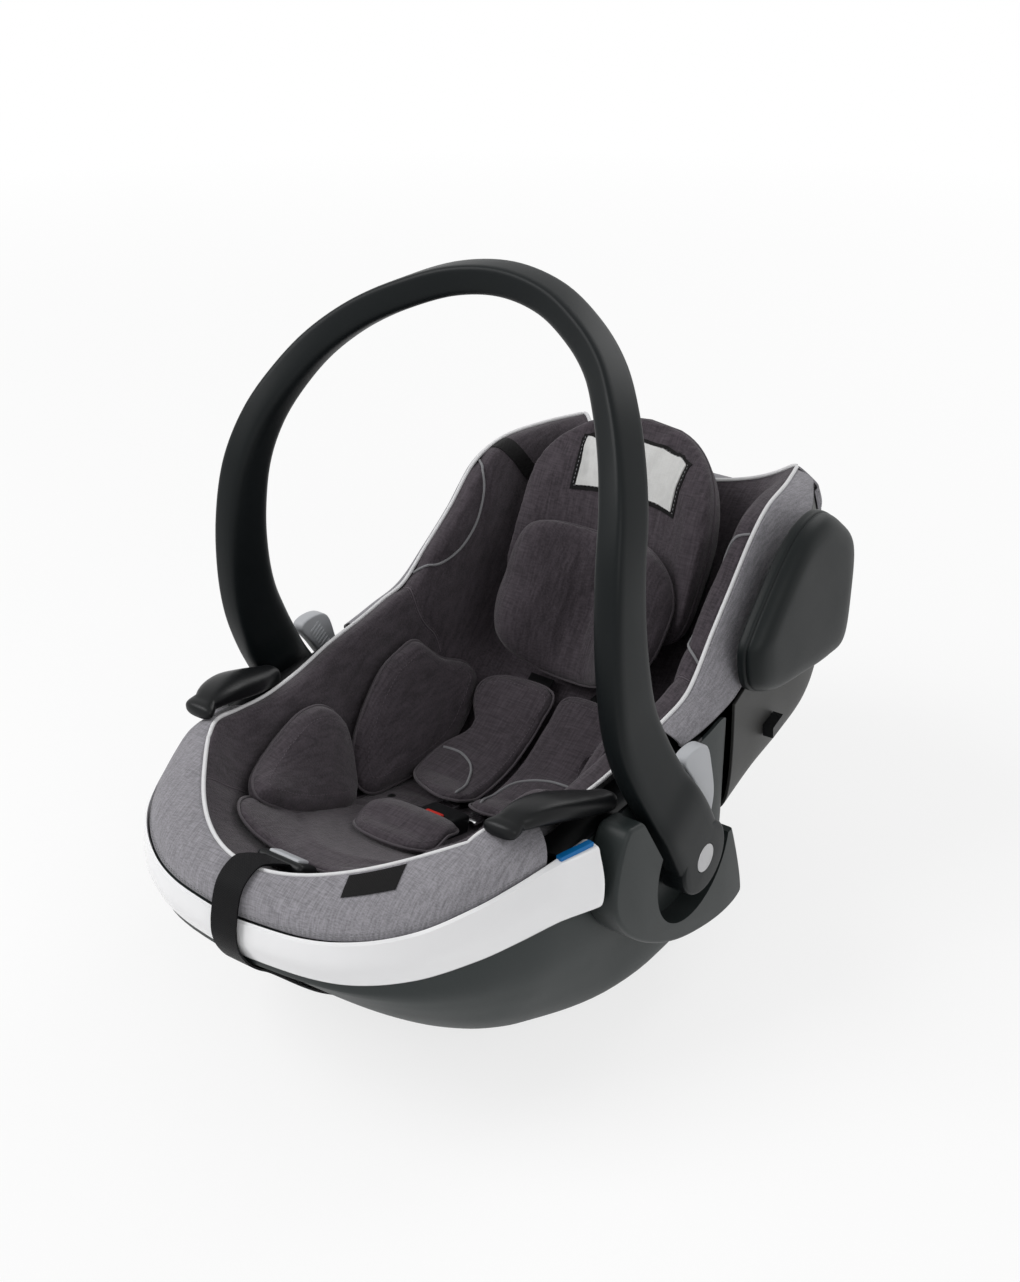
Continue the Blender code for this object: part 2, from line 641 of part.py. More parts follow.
def perimeter(rows, position):
    """Point on a closed curve given for its right half; the foot is at zero."""
    last = len(rows) - 1
    position = (position + last) % (2 * last) - last
    point = body_point(spline(rows, abs(position)))
    point.x = math.copysign(point.x, position)
    return point


def hull_step():
    """Distance along the perimeter between two columns of the rocker shell."""
    return 2 * (len(SHELL_EDGE_SHARES) - 1) / HULL_STEPS


def hull_point(position, ring):
    """Point of the rocker shell's outer face: ring 0 at the edge, 1 at the waist, then in."""
    if ring == 0:
        return perimeter(SHELL_EDGE_SHARES, position)
    waist = perimeter(SHELL_WAIST_SHARES, position)
    if ring == 1:
        return waist
    foot_plan, hub_plan, drop = HULL_RING_SHARES[ring - 2]
    foot_y, hub_y = reach(HULL_FOOT_SHARE), reach(HULL_HUB_SHARE)
    plan = blend(foot_plan, hub_plan, ease((waist.y - foot_y) / (hub_y - foot_y)))
    centre_y = reach(HULL_CENTRE_SHARE)
    y = blend(centre_y, waist.y, plan)
    return Vector((waist.x * plan, y, blend(waist.z, sole_height(y), drop)))


def build_base_shell(kit):
    """Rocker shell: one open skin given its wall towards the inside."""
    mesh = bmesh.new()
    rings = []
    for ring in range(len(HULL_RING_SHARES) + 2):
        rings.append([mesh.verts.new(hull_point(hull_step() * step, ring))
                      for step in range(HULL_STEPS)])
    for upper, lower in zip(rings, rings[1:]):
        for index in range(HULL_STEPS):
            after = (index + 1) % HULL_STEPS
            mesh.faces.new((upper[index], lower[index], lower[after], upper[after]))
    mesh.faces.new(rings[-1])
    bmesh.ops.recalc_face_normals(mesh, faces=mesh.faces[:])
    shell = kit.add("base_shell", mesh, "shell")
    wall = shell.modifiers.new("wall", "SOLIDIFY")
    wall.thickness = SHELL_WALL
    wall.offset = -1
    half = DOCK_WINDOW_SHARE * BODY_HALF_WIDTH
    reach_y = DOCK_WINDOW_LENGTH / 2
    for name, (y, z) in zip(("front", "rear"), dock_bar_places()):
        outline = [(y - reach_y, -CUT_OVERRUN), (y + reach_y, -CUT_OVERRUN),
                   (y + reach_y, z), (y - reach_y, z)]
        boolean(shell, kit.cutter(f"dock_window_{name}", prism(outline, -half, half)))
    return shell


def dock_bar_places():
    """Centres of the two bars in Y and Z."""
    return [(reach(share), sole_height(reach(share)) + DOCK_BAR_FLOOR)
            for share in DOCK_BAR_Y_SHARES]


def build_dock_bars(kit):
    """Two steel bars across the sole, carried by the ribs."""
    half = DOCK_BAR_SPAN_SHARE * BODY_HALF_WIDTH
    for name, place in zip(("front", "rear"), dock_bar_places()):
        kit.add(f"dock_bar_{name}", disc(place, DOCK_BAR_RADIUS, -half, half,
                                         SMALL_ROUND_STEPS), "steel")


def face_tree(part):
    """Search tree over the finished faces of a part."""
    view = bpy.context.evaluated_depsgraph_get()
    view.update()
    return BVHTree.FromObject(part, view)


def face_height(tree, x, y, from_below):
    """Height of the first face met at a place, going up from the ground or down from above."""
    start = Vector((x, y, -BODY_HEIGHT if from_below else 2 * BODY_HEIGHT))
    heading = Vector((0.0, 0.0, 1.0 if from_below else -1.0))
    return tree.ray_cast(start, heading)[0].z


def rib_outline(shell, liner, shares):
    """Outline of a rib that stands on a shell and reaches up to the liner."""
    centre = RIB_SPREAD_SHARE * BODY_HALF_WIDTH
    faces = (centre - RIB_WALL / 2, centre + RIB_WALL / 2)
    shell_tree, liner_tree = face_tree(shell), face_tree(liner)
    first, last = reach(shares[0]), reach(shares[1])
    lower, upper = [], []
    for step in range(RIB_STEPS + 1):
        y = blend(first, last, step / RIB_STEPS)
        lower.append((y, RIB_GAP + max(face_height(shell_tree, x, y, False) for x in faces)))
        upper.append((y, min(face_height(liner_tree, x, y, True) for x in faces)
                      - RIB_TOP_GAP))
    return lower + upper[::-1]


def build_base_ribs(kit, shell, liner):
    """Upright ribs between the sole and the liner, drilled for the bars."""
    centre = RIB_SPREAD_SHARE * BODY_HALF_WIDTH
    low, high = centre - RIB_WALL / 2, centre + RIB_WALL / 2
    outline = rib_outline(shell, liner, BASE_RIB_SHARES)
    for name, side in SIDES:
        rib = kit.add(f"base_rib_{name}", mirrored(prism(outline, low, high), side), "shell")
        for end, place in zip(("front", "rear"), dock_bar_places()):
            hole = disc(place, DOCK_BAR_RADIUS + GAP, low - CUT_OVERRUN, high + CUT_OVERRUN,
                        SMALL_ROUND_STEPS)
            boolean(rib, kit.cutter(f"bar_hole_{name}_{end}", mirrored(hole, side)))


def back_point(along, across):
    """Point of the back shell's outer face: along 0 at the hubs to 1 at the head."""
    position = along * (len(BACK_EDGE_SHARES) - 1)
    edge = body_point(spline(BACK_EDGE_SHARES, position))
    line_y, line_z = spline(BACK_LINE_SHARES, position)
    side = min(abs(across), 1.0)
    width, depth = spline(BACK_WALL_SHARES, side * (len(BACK_WALL_SHARES) - 1))
    middle = Vector((0.0, reach(line_y), line_z * BODY_HEIGHT))
    point = edge.lerp(middle, depth)
    point.x = math.copysign(width * edge.x, across)
    return point


def build_back_shell(kit):
    """Back shell: a bent skin round the head, given its wall towards the inside."""
    mesh = patch(lifted(back_point), (0.0, 1.0), (-1.0, 1.0), (0.0, SHELL_WALL),
                 BACK_COLUMNS, BACK_ROWS)
    return kit.add("back_shell", mesh, "shell")


def build_back_ribs(kit, shell, liner):
    """Ribs between the back shell and the liner."""
    centre = RIB_SPREAD_SHARE * BODY_HALF_WIDTH
    outline = rib_outline(shell, liner, BACK_RIB_SHARES)
    for name, side in SIDES:
        rib = prism(outline, centre - RIB_WALL / 2, centre + RIB_WALL / 2)
        kit.add(f"back_rib_{name}", mirrored(rib, side), "shell")


def build_seat(kit):
    """Foam liner that carries the load, and the dark cover from piping to piping."""
    drop = COVER_WALL + LAYER_GAP
    first, last = LINER_ROWS
    side = LINER_COLUMNS / SEAT_COLUMNS
    liner = patch(seat_lift, (first / SEAT_ROWS, last / SEAT_ROWS), (-side, side),
                  (-drop, -drop - LINER_WALL), LINER_COLUMNS, last - first)
    cover = patch(seat_lift, (0.0, 1.0), (-1.0, 1.0), (0.0, -COVER_WALL), SEAT_COLUMNS,
                  SEAT_ROWS)
    kit.add("seat_cover", cover, "dark")
    return kit.add("seat_liner", liner, "foam")


def strip_point(inner, outer, away, part, bulge, lift):
    """Point on a bulging strip from an inner to an outer edge."""
    return inner.lerp(outer, part) + away * (bulge * math.sin(math.pi * part) ** 0.8 + lift)


def plan_away(point):
    """Level direction from the middle of the rocker shell to a point."""
    return Vector((point.x, point.y - reach(HULL_CENTRE_SHARE), 0.0)).normalized()


def build_foot_cover(kit):
    """Grey cover of the foot end, between the piping and the white trim."""
    up = Vector((0.0, 0.0, 1.0))

    def place(u, v, lift):
        position = u * BAND_END_SHARE
        side = math.copysign(1.0, position)
        distance = abs(position)
        inner = seat_point(max(distance - BAND_CORNER_SHARE, 0.0) * BAND_PACE_SHARE,
                           side * min(distance / BAND_CORNER_SHARE, 1.0))
        edge = perimeter(SHELL_EDGE_SHARES, position)
        away = plan_away(edge)
        tilted = (away + up * BAND_TILT_SHARE).normalized()
        inner = inner + (away + up).normalized() * BAND_TUCK
        outer = edge + up * BAND_EDGE_RISE - away * BAND_EDGE_INSET
        return strip_point(inner, outer, tilted, (v + 1) / 2, BAND_BULGE, lift)
    kit.add("foot_cover", slab(26, 4, place, 0.0, BAND_WALL), "grey")


def build_side_covers(kit):
    """Grey covers beside the torso and head, between the piping and the shells."""
    rows = len(WING_EDGE_SHARES) - 1
    for name, side in SIDES:
        def place(u, v, lift, side=side):
            part = (u + 1) / 2
            inner = seat_point(blend(*WING_ALONG_SHARES, part), 1.0)
            outer = body_point(spline(WING_EDGE_SHARES, part * rows))
            away = Vector((1.0, 0.0, 0.0))
            inner = inner + away * GAP * 2
            point = strip_point(inner, outer, away, (v + 1) / 2, WING_BULGE, lift)
            return mirrored_point(point, side)
        kit.add(f"side_cover_{name}", slab(14, 4, place, 0.0, BAND_WALL), "grey")


def trim_outward(position):
    """Level direction out of the rocker shell's rim."""
    step = hull_step() / 2
    ahead = perimeter(SHELL_WAIST_SHARES, position + step)
    behind = perimeter(SHELL_WAIST_SHARES, position - step)
    tangent = ahead - behind
    return Vector((tangent.y, -tangent.x, 0.0)).normalized()


def trim_values(position):
    """Edge, waist, outward direction, rise and flare of the trim at a place."""
    away = trim_outward(position)
    share = min(abs(position), TRIM_END_SHARE)
    rise = spline([(value,) for value in TRIM_TOP_RISES], share)[0]
    flare = spline([(value,) for value in TRIM_FLARES], share)[0]
    return (perimeter(SHELL_EDGE_SHARES, position), perimeter(SHELL_WAIST_SHARES, position),
            away, rise, flare)


def trim_section(position):
    """Ring of points of the white trim at a place on the perimeter."""
    edge, waist, away, rise, flare = trim_values(position)
    up = Vector((0.0, 0.0, 1.0))
    foot = waist.lerp(edge, TRIM_FOOT_RISE / (edge.z - waist.z))
    near = away * TRIM_SIDE_GAP
    wall = away * (TRIM_SIDE_GAP + TRIM_WALL + flare)
    middle = edge.lerp(foot, 0.5)
    return [edge + near + up * rise * 0.5, edge + wall * 0.8 + up * rise, edge + wall,
            middle + wall + away * TRIM_BULGE, foot + wall, foot + near]


def trim_positions(end):
    """Places on the perimeter: the rocker shell's own columns, then the two ends."""
    count = int(end / hull_step())
    inner = [hull_step() * step for step in range(-count, count + 1)]
    return [-end] + inner + [end]


def build_rim_trim(kit):
    """White trim round the foot end of the rocker shell."""
    mesh = loft([trim_section(position) for position in trim_positions(TRIM_END_SHARE)])
    kit.add("rim_trim", mesh, "white")


def build_belt_slides(kit):
    """Blue strips on the trim's top beside the hubs."""
    up = Vector((0.0, 0.0, 1.0))
    for name, side in SIDES:
        sections = []
        for step in range(4):
            position = blend(SLIDE_START_SHARE, SLIDE_END_SHARE, step / 3)
            edge, _, away, rise, flare = trim_values(position)
            top = edge + up * (rise + LAYER_GAP)
            far = top + away * (TRIM_SIDE_GAP + (TRIM_WALL + flare) * 0.8)
            near = far - away * min(SLIDE_WIDTH, (TRIM_WALL + flare) * 0.7)
            sections.append([mirrored_point(point, side) for point in
                             (near, far, far + up * SLIDE_HEIGHT, near + up * SLIDE_HEIGHT)])
        kit.add(f"belt_slide_{name}", loft(sections), "blue")


def build_ledges(kit):
    """Black ledges that close the gap between the bucket's side rims and the shell."""
    columns = len(LEDGE_PROFILE_SHARES) - 1
    for name, side in SIDES:
        def place(u, v, lift, side=side):
            width, rise = spline(LEDGE_PROFILE_SHARES, (u + 1) / 2 * columns)
            edge = perimeter(SHELL_EDGE_SHARES, blend(*LEDGE_RANGE_SHARES, (v + 1) / 2))
            x = min(width * BODY_HALF_WIDTH, edge.x - GAP)
            return mirrored_point((x, edge.y, edge.z + rise * LEDGE_DROP + lift), side)
        kit.add(f"rim_ledge_{name}", slab(columns, 8, place, 0.0, BAND_WALL), "black")


def build_belt_hooks(kit):
    """Black hooks that guide the vehicle belt over the rims."""
    for name, side in SIDES:
        sections = []
        rows = len(HOOK_PATH_SHARES) - 1
        for step in range(HOOK_STEPS + 1):
            values = spline(HOOK_PATH_SHARES, step / HOOK_STEPS * rows)
            middle = body_point(values[:3])
            width, height = values[3] * HOOK_HALF_WIDTH, values[4] * HOOK_HALF_HEIGHT
            ring = []
            for turn in range(SMALL_ROUND_STEPS):
                angle = 2 * math.pi * turn / SMALL_ROUND_STEPS
                a = math.copysign(abs(math.cos(angle)) ** 0.7, math.cos(angle))
                b = math.copysign(abs(math.sin(angle)) ** 0.7, math.sin(angle))
                place = middle + Vector((a * width, 0.0, b * height))
                ring.append(mirrored_point(place, side))
            sections.append(ring)
        kit.add(f"belt_hook_{name}", loft(sections), "black")


def turned(y, z, angle):
    """Direction at an angle from upright, positive to the head end, as Y and Z."""
    return (y * math.cos(angle) + z * math.sin(angle),
            z * math.cos(angle) - y * math.sin(angle))


def fan_arc(radius, spread):
    """Arc of (y, z) points that the arm sweeps, from ahead of it at rest to its far end."""
    lean = HUB_FAN_LEAN_DEGREES - spread
    start = lean - math.degrees(math.asin(HUB_FAN_FRONT / radius))
    points = []
    for step in range(ROUND_STEPS // 2 + 1):
        angle = math.radians(blend(start, HUB_FAN_END_DEGREES + spread, step * 2 / ROUND_STEPS))
        y, z = turned(0.0, radius, angle)
        points.append((y, PIVOT_HEIGHT + z))
    return points


def build_hubs(kit):
    """Hub housings with the pocket that the handle's round end turns in."""
    centre = (0.0, PIVOT_HEIGHT)
    outline = [side_place(shares) for shares in HUB_OUTLINE_SHARES]
    for name, side in SIDES:
        body = soften(prism(outline, HUB_INNER, HUB_OUTER), SHELL_WALL)
        hub = kit.add(f"hub_housing_{name}", mirrored(body, side), "shell")
        pocket = disc(side_place(HUB_POCKET_CENTRE_SHARES), HUB_POCKET_RADIUS, HUB_FLOOR,
                      HUB_OUTER + CUT_OVERRUN)
        sector = prism(fan_arc(HUB_POCKET_RADIUS * HUB_OVERLAP_SHARE, HUB_FAN_STEP_DEGREES)
                       + fan_arc(HUB_FAN_REACH, HUB_FAN_STEP_DEGREES)[::-1],
                       HUB_FLOOR, HUB_OUTER + CUT_OVERRUN)
        beyond = prism(fan_arc(HUB_PLATE_RADIUS, 0.0) + fan_arc(HUB_FAN_REACH, 0.0)[::-1],
                       HUB_INNER - CUT_OVERRUN, HUB_OUTER + CUT_OVERRUN)
        bore = disc(centre, PIN_BORE_RADIUS, HUB_INNER - CUT_OVERRUN, HUB_FLOOR + CUT_OVERRUN)
        for part, mesh in (("pocket", pocket), ("sector", sector), ("beyond", beyond),
                           ("bore", bore)):
            boolean(hub, kit.cutter(f"hub_{part}_{name}", mirrored(mesh, side)))
        pin = disc(centre, PIN_RADIUS, PIN_INNER, PIN_OUTER)
        kit.add(f"pivot_pin_{name}", mirrored(pin, side), "steel")
        washer = disc(centre, WASHER_RADIUS, WASHER_INNER, WASHER_OUTER)
        ring = kit.add(f"pivot_washer_{name}", mirrored(washer, side), "black")
        hole = disc(centre, PIN_BORE_RADIUS, WASHER_INNER - CUT_OVERRUN,
                    WASHER_OUTER + CUT_OVERRUN)
        boolean(ring, kit.cutter(f"washer_bore_{name}", mirrored(hole, side)))


def handle_section(position):
    """Ring of points across the handle; position runs from -1 (left) over 0 to 1."""
    last = len(HANDLE_PATH_SHARES) - 1
    distance = (1 - abs(position)) * last
    step = HANDLE_STEP_SHARE

    def centre(value):
        shares = spline(HANDLE_PATH_SHARES, value)
        return Vector((shares[0] * HANDLE_SPAN, *arm_place(shares[1:3])))
    depth_share, width_share = spline(HANDLE_PATH_SHARES, distance)[3:]
    depth, width = depth_share * HANDLE_HALF_DEPTH, width_share * ARM_WALL / 2
    here = centre(distance)
    tangent = (centre(min(distance + step, last)) - centre(max(distance - step, 0))).normalized()
    if distance > last - step:
        tangent = Vector((-1.0, 0.0, 0.0))
    bend = arm_place((0.0, HANDLE_BEND_SHARE))[1]
    side = Vector((here.x, 0.0, max(0.0, here.z - bend))).normalized()
    if distance >= last:
        side = Vector((0.0, 0.0, 1.0))
    side = (side - tangent * side.dot(tangent)).normalized()
    front = tangent.cross(side).normalized()
    sign = 1 if position >= 0 else -1
    return [mirrored_point(here + side * a * width + front * b * depth, sign)
            for a, b in HANDLE_SECTION_SHARES]


def build_handle(kit):
    """Carrying handle: one bent bar with two round ends, bored for the pins."""
    last = len(HANDLE_PATH_SHARES) - 1
    first = HANDLE_FIRST_SHARE / last
    places = [1 - blend(first, 1.0, step / HANDLE_SECTIONS) for step in range(HANDLE_SECTIONS)]
    sections = [handle_section(place) for place in places]
    sections.append(handle_section(0.0))
    sections += [handle_section(-place) for place in reversed(places)]
    centre = (0.0, PIVOT_HEIGHT)
    origin = Vector((0.0, 0.0, PIVOT_HEIGHT))
    handle = kit.add("handle", loft(sections), "handle", origin)
    for name, side in SIDES:
        end = disc(centre, ARM_END_RADIUS, ARM_INNER, ARM_OUTER)
        boolean(handle, kit.cutter(f"arm_end_{name}", mirrored(end, side)), "UNION")
        bore = disc(centre, PIN_BORE_RADIUS, ARM_INNER - CUT_OVERRUN, ARM_OUTER + CUT_OVERRUN)
        recess = disc(centre, CAP_BORE_RADIUS, CAP_INNER - GAP, ARM_OUTER + CUT_OVERRUN)
        boolean(handle, kit.cutter(f"arm_bore_{name}", mirrored(bore, side)))
        boolean(handle, kit.cutter(f"cap_recess_{name}", mirrored(recess, side)))
        cap = disc(centre, CAP_RADIUS, CAP_INNER, CAP_OUTER)
        kit.add(f"pivot_cap_{name}", mirrored(cap, side), "silver", origin)


def arm_rear_place(shares):
    """Y and Z behind the arm's middle line: shares of its half depth and of the rise."""
    low, high = 0.0, ARM_ROWS
    for _ in range(SEARCH_STEPS):
        middle = (low + high) / 2
        if spline(HANDLE_PATH_SHARES, middle)[2] < shares[1]:
            low = middle
        else:
            high = middle
    y, z = arm_place((spline(HANDLE_PATH_SHARES, low)[1], shares[1]))
    return y + shares[0] * HANDLE_HALF_DEPTH, z


def build_levers(kit):
    """Squeeze levers behind the handle's arms, hinged at their lower ends."""
    middle = (LEVER_INNER + LEVER_OUTER) / 2
    outline = [arm_rear_place(shares) for shares in LEVER_OUTLINE_SHARES]
    for name, side in SIDES:
        lever = soften(prism(outline, LEVER_INNER, LEVER_OUTER), SHELL_WALL / 2)
        origin = mirrored_point((middle, *arm_rear_place(LEVER_HINGE_SHARES)), side)
        kit.add(f"handle_lever_{name}", mirrored(lever, side), "lever", origin)


def build_guard(kit):
    """Side guard on the right, clipped to the back shell."""
    outline = [side_place(shares) for shares in GUARD_OUTLINE_SHARES]
    centre_y = sum(point[0] for point in outline) / len(outline)
    centre_z = sum(point[1] for point in outline) / len(outline)
    rings = []
    for depth, share in GUARD_RING_SHARES:
        x = blend(GUARD_INNER, GUARD_OUTER, depth)
        rings.append([Vector((x, blend(centre_y, y, share), blend(centre_z, z, share)))
                      for y, z in outline])
    kit.add("side_guard", loft(rings), "shell")
    for name, side in SIDES:
        clip = bmesh.new()
        centre = (GUARD_INNER - CLIP_GAP - CLIP_SIZE[0] / 2, *side_place(CLIP_PLACE_SHARES))
        place = Matrix.Translation(mirrored_point(centre, side))
        bmesh.ops.create_cube(clip, size=1, matrix=place @ Matrix.Diagonal((*CLIP_SIZE, 1.0)))
        kit.add(f"side_guard_clip_{name}", clip, "black")
        frame = surface_frame(back_point, GUIDE_ALONG_SHARE, GUIDE_ACROSS_SHARE * side)
        guide = block(frame, GUIDE_SIZE, -GUIDE_SIZE[2] / 2 - LAYER_GAP)
        kit.add(f"belt_guide_{name}", guide, "black")


def headrest_place(x, along, rise):
    """Point of the headrest from its x, place along the slide and rise off its back."""
    slide = Vector((0.0, HEADREST_SLOPE, 1.0)).normalized()
    front = Vector((0.0, -slide.z, slide.y))
    foot = body_point(HEADREST_FOOT_SHARES)
    return foot + Vector((x, 0.0, 0.0)) + slide * along + front * rise


def headrest_back(x, along):
    """Rise of the headrest's back, drawn forward beside the bowl and at the crown."""
    side = min(abs(x) / HEADREST_RISE_WIDTH, 1.0)
    lean = max(along - HEADREST_LEAN_START, 0.0) * HEADREST_FORWARD_SHARE
    return HEADREST_SIDE_RISE * side ** HEADREST_RISE_POWER + lean


def headrest_front(x, along):
    """Rise of the headrest cover's front."""
    low = HEADREST_FRONT_LOW + HEADREST_FRONT_SHARE * max(along, 0.0)
    side = min(abs(x) / HEADREST_RISE_WIDTH, 1.0)
    return low + HEADREST_SIDE_RISE * side ** 2


def build_headrest_rail(kit):
    """Rail on the bucket's back that the headrest slides on."""
    lower, upper = [], []
    for step in range(RIB_STEPS // 2 + 1):
        share = blend(*RAIL_BOWL_SHARES, step * 2 / RIB_STEPS)
        point = seat_lift(share, 0.0, RAIL_FOOT_GAP)
        lower.append((point.y, point.z))
    for along in RAIL_ALONG[::-1]:
        point = headrest_place(0.0, along, -RAIL_GAP)
        upper.append((point.y, point.z))
    kit.add("headrest_rail", prism(lower + upper, -RAIL_HALF, RAIL_HALF), "black")


def build_headrest(kit):
    """Sliding headrest: a stiff back, its cover and the newborn pillow."""
    def shell_place(u, v, lift):
        x = u * HEADREST_SHELL_HALF * crown_share(v)
        first, last = HEADREST_SHELL_ALONG
        along = blend(first, last - crown_drop(x), (v + 1) / 2)
        return headrest_place(x, along, headrest_back(x, along) + lift)
    shell = slab(12, 8, shell_place, 0.0, HEADREST_SHELL_WALL)
    kit.add("headrest_shell", shell, "shell")

    def cover_surface(along, across, lift):
        x = across * HEADREST_COVER_HALF * crown_share(2 * along - 1)
        first, last = HEADREST_COVER_ALONG
        place = blend(first, last - crown_drop(x), along)
        low = headrest_back(x, place) + HEADREST_SHELL_WALL + RIB_GAP
        high = max(headrest_front(x, place), low + BAND_WALL)
        return headrest_place(x, place, blend(low, high, lift))
    cover = cushion(cover_surface, (0.0, 1.0), (-1.0, 1.0), (0.0, 1.0), 0.45, (28, 14))
    kit.add("headrest_cover", cover, "dark")

    def pillow_surface(along, across, lift):
        x = across * PILLOW_HALF
        place = blend(*PILLOW_ALONG, along)
        side = min(abs(x) / PILLOW_HALF, 1.0)
        rest = max(headrest_front(x, place) + PILLOW_GAP,
                   PILLOW_BACK + PILLOW_SIDE_RISE * side ** 3)
        lobe = math.exp(-((abs(x) - PILLOW_LOBE_PLACE) / PILLOW_LOBE_SPREAD) ** 2)
        top = rest + PILLOW_MIDDLE + PILLOW_LOBE * lobe
        return headrest_place(x, place, blend(rest, top, lift))
    pillow = cushion(pillow_surface, (0.0, 1.0), (-1.0, 1.0), (0.0, 1.0), 0.72, (28, 14))
    kit.add("head_pillow", pillow, "dark")


def crown_share(v):
    """Width share of the headrest, drawn in towards the crown."""
    return 1.0 - CROWN_TAPER_SHARE * ease(v)


def crown_drop(x):
    """How much lower the crown is at a distance from the middle."""
    return HEADREST_CROWN_DROP * (abs(x) / HEADREST_COVER_HALF) ** 2


def build_inlay(kit):
    """Seat cushion, hip pads and torso pads of the newborn inlay."""
    seat = cushion(seat_lift, *CUSHION_PATCH_SHARES, CUSHION_LIFTS)
    kit.add("seat_cushion", seat, "dark")
    for name, side in SIDES:
        for pad, shares, lifts in (("hip_pad", HIP_PATCH_SHARES, HIP_LIFTS),
                                   ("torso_pad", TORSO_PATCH_SHARES, TORSO_LIFTS)):
            mesh = mirrored(cushion(seat_lift, *shares, lifts), side)
            kit.add(f"{pad}_{name}", mesh, "dark")


def web_along(path, across, half_width):
    """Flat webbing that runs along the bowl: path of (along, lift) pairs."""
    rows = len(path) - 1

    def place(u, v, lift):
        along, height = spline(path, (v + 1) / 2 * rows)
        middle = blend(*across, (v + 1) / 2)
        point, forward, _, normal = surface_frame(seat_point, along, middle)
        side = forward.cross(normal).normalized()
        return point + normal * (height + lift) + side * u * half_width
    return slab(2, rows * 2, place, 0.0, WEB_WALL)


def web_across(path, along_range, half_width):
    """Flat webbing that runs across the bowl: path of (across, lift) pairs."""
    rows = len(path) - 1

    def place(u, v, lift):
        across, height = spline(path, (v + 1) / 2 * rows)
        along = blend(*along_range, (v + 1) / 2)
        point, forward, _, normal = surface_frame(seat_point, along, across)
        return point + normal * (height + lift) + forward * u * half_width
    return slab(2, rows * 2, place, 0.0, WEB_WALL)


def past_buckle(distance):
    """Place along the bowl at a distance past the buckle's middle, negative to the foot."""
    ahead = seat_point(BUCKLE_ALONG_SHARE + STEP_SHARE, 0.0)
    behind = seat_point(BUCKLE_ALONG_SHARE - STEP_SHARE, 0.0)
    return BUCKLE_ALONG_SHARE + distance * 2 * STEP_SHARE / (ahead - behind).length


def build_buckle(kit):
    """Buckle with its button, and the strap and pad in front of it."""
    frame = surface_frame(seat_point, BUCKLE_ALONG_SHARE, 0.0)
    body = soften(block(frame, BUCKLE_SIZE, BUCKLE_LIFT), SHELL_WALL)
    buckle = kit.add("buckle_body", body, "black")
    shift = BUTTON_BACK_SHARE * BUCKLE_SIZE[1]
    top = BUCKLE_LIFT + BUCKLE_SIZE[2] / 2
    room = tuple(size + 2 * GAP for size in BUTTON_SIZE[:2]) + (2 * BUTTON_SIZE[2],)
    boolean(buckle, kit.cutter("button_pocket", block(frame, room, top, shift)))
    button_lift = top + BUTTON_RISE - BUTTON_SIZE[2] / 2
    origin = frame[0] + frame[3] * button_lift + frame[1] * shift
    kit.add("buckle_button", block(frame, BUTTON_SIZE, button_lift, shift), "red", origin)
    half = BUCKLE_SIZE[1] / 2
    end = past_buckle(-half - CROTCH_WEB_GAP)
    path = [(blend(CROTCH_WEB_SHARE, end, step / 3), CROTCH_WEB_LIFT) for step in range(4)]
    kit.add("crotch_strap", web_along(path, (0.0, 0.0), WEB_HALF), "web")
    along = (CROTCH_PAD_SHARE, past_buckle(-half - CROTCH_PAD_GAP))
    pad = cushion(seat_lift, along, CROTCH_ACROSS_SHARES, CROTCH_LIFTS)
    kit.add("crotch_pad", pad, "dark")


def build_harness(kit):
    """Tongues behind the buckle, the webbing on them and the shoulder pads."""
    tongue_reach = BUCKLE_SIZE[1] / 2 + TONGUE_GAP + TONGUE_SIZE[1] / 2
    web_start = past_buckle(tongue_reach + TONGUE_SIZE[1] / 2 + SHOULDER_WEB_GAP)
    shoulder = list(zip((web_start,) + SHOULDER_WEB_SHARES, SHOULDER_WEB_LIFTS))
    lap_along = tuple(past_buckle(distance) for distance in LAP_WEB_REACHES)
    for name, side in SIDES:
        frame = surface_frame(seat_point, past_buckle(tongue_reach),
                              TONGUE_ACROSS_SHARE * side)
        tongue = soften(block(frame, TONGUE_SIZE, TONGUE_LIFT), GAP * 3)
        kit.add(f"tongue_{name}", tongue, "silver")
        strap = web_along(shoulder, SHOULDER_ACROSS_SHARES, WEB_HALF)
        kit.add(f"shoulder_strap_{name}", mirrored(strap, side), "web")
        lap = web_across(list(zip(LAP_WEB_SHARES, LAP_WEB_LIFTS)), lap_along, WEB_HALF)
        kit.add(f"lap_strap_{name}", mirrored(lap, side), "web")
        pad = cushion(seat_lift, *SHOULDER_PATCH_SHARES, SHOULDER_LIFTS)
        kit.add(f"shoulder_pad_{name}", mirrored(pad, side), "dark")


def hull_underside(y):
    """Height of the rocker shell's outer face at the middle of the foot end."""
    rings = [hull_point(0.0, ring) for ring in range(1, len(HULL_RING_SHARES) + 2)]
    for outer, inner in zip(rings, rings[1:]):
        if y <= inner.y:
            return blend(outer.z, inner.z, (y - outer.y) / (inner.y - outer.y))
    return 0.0


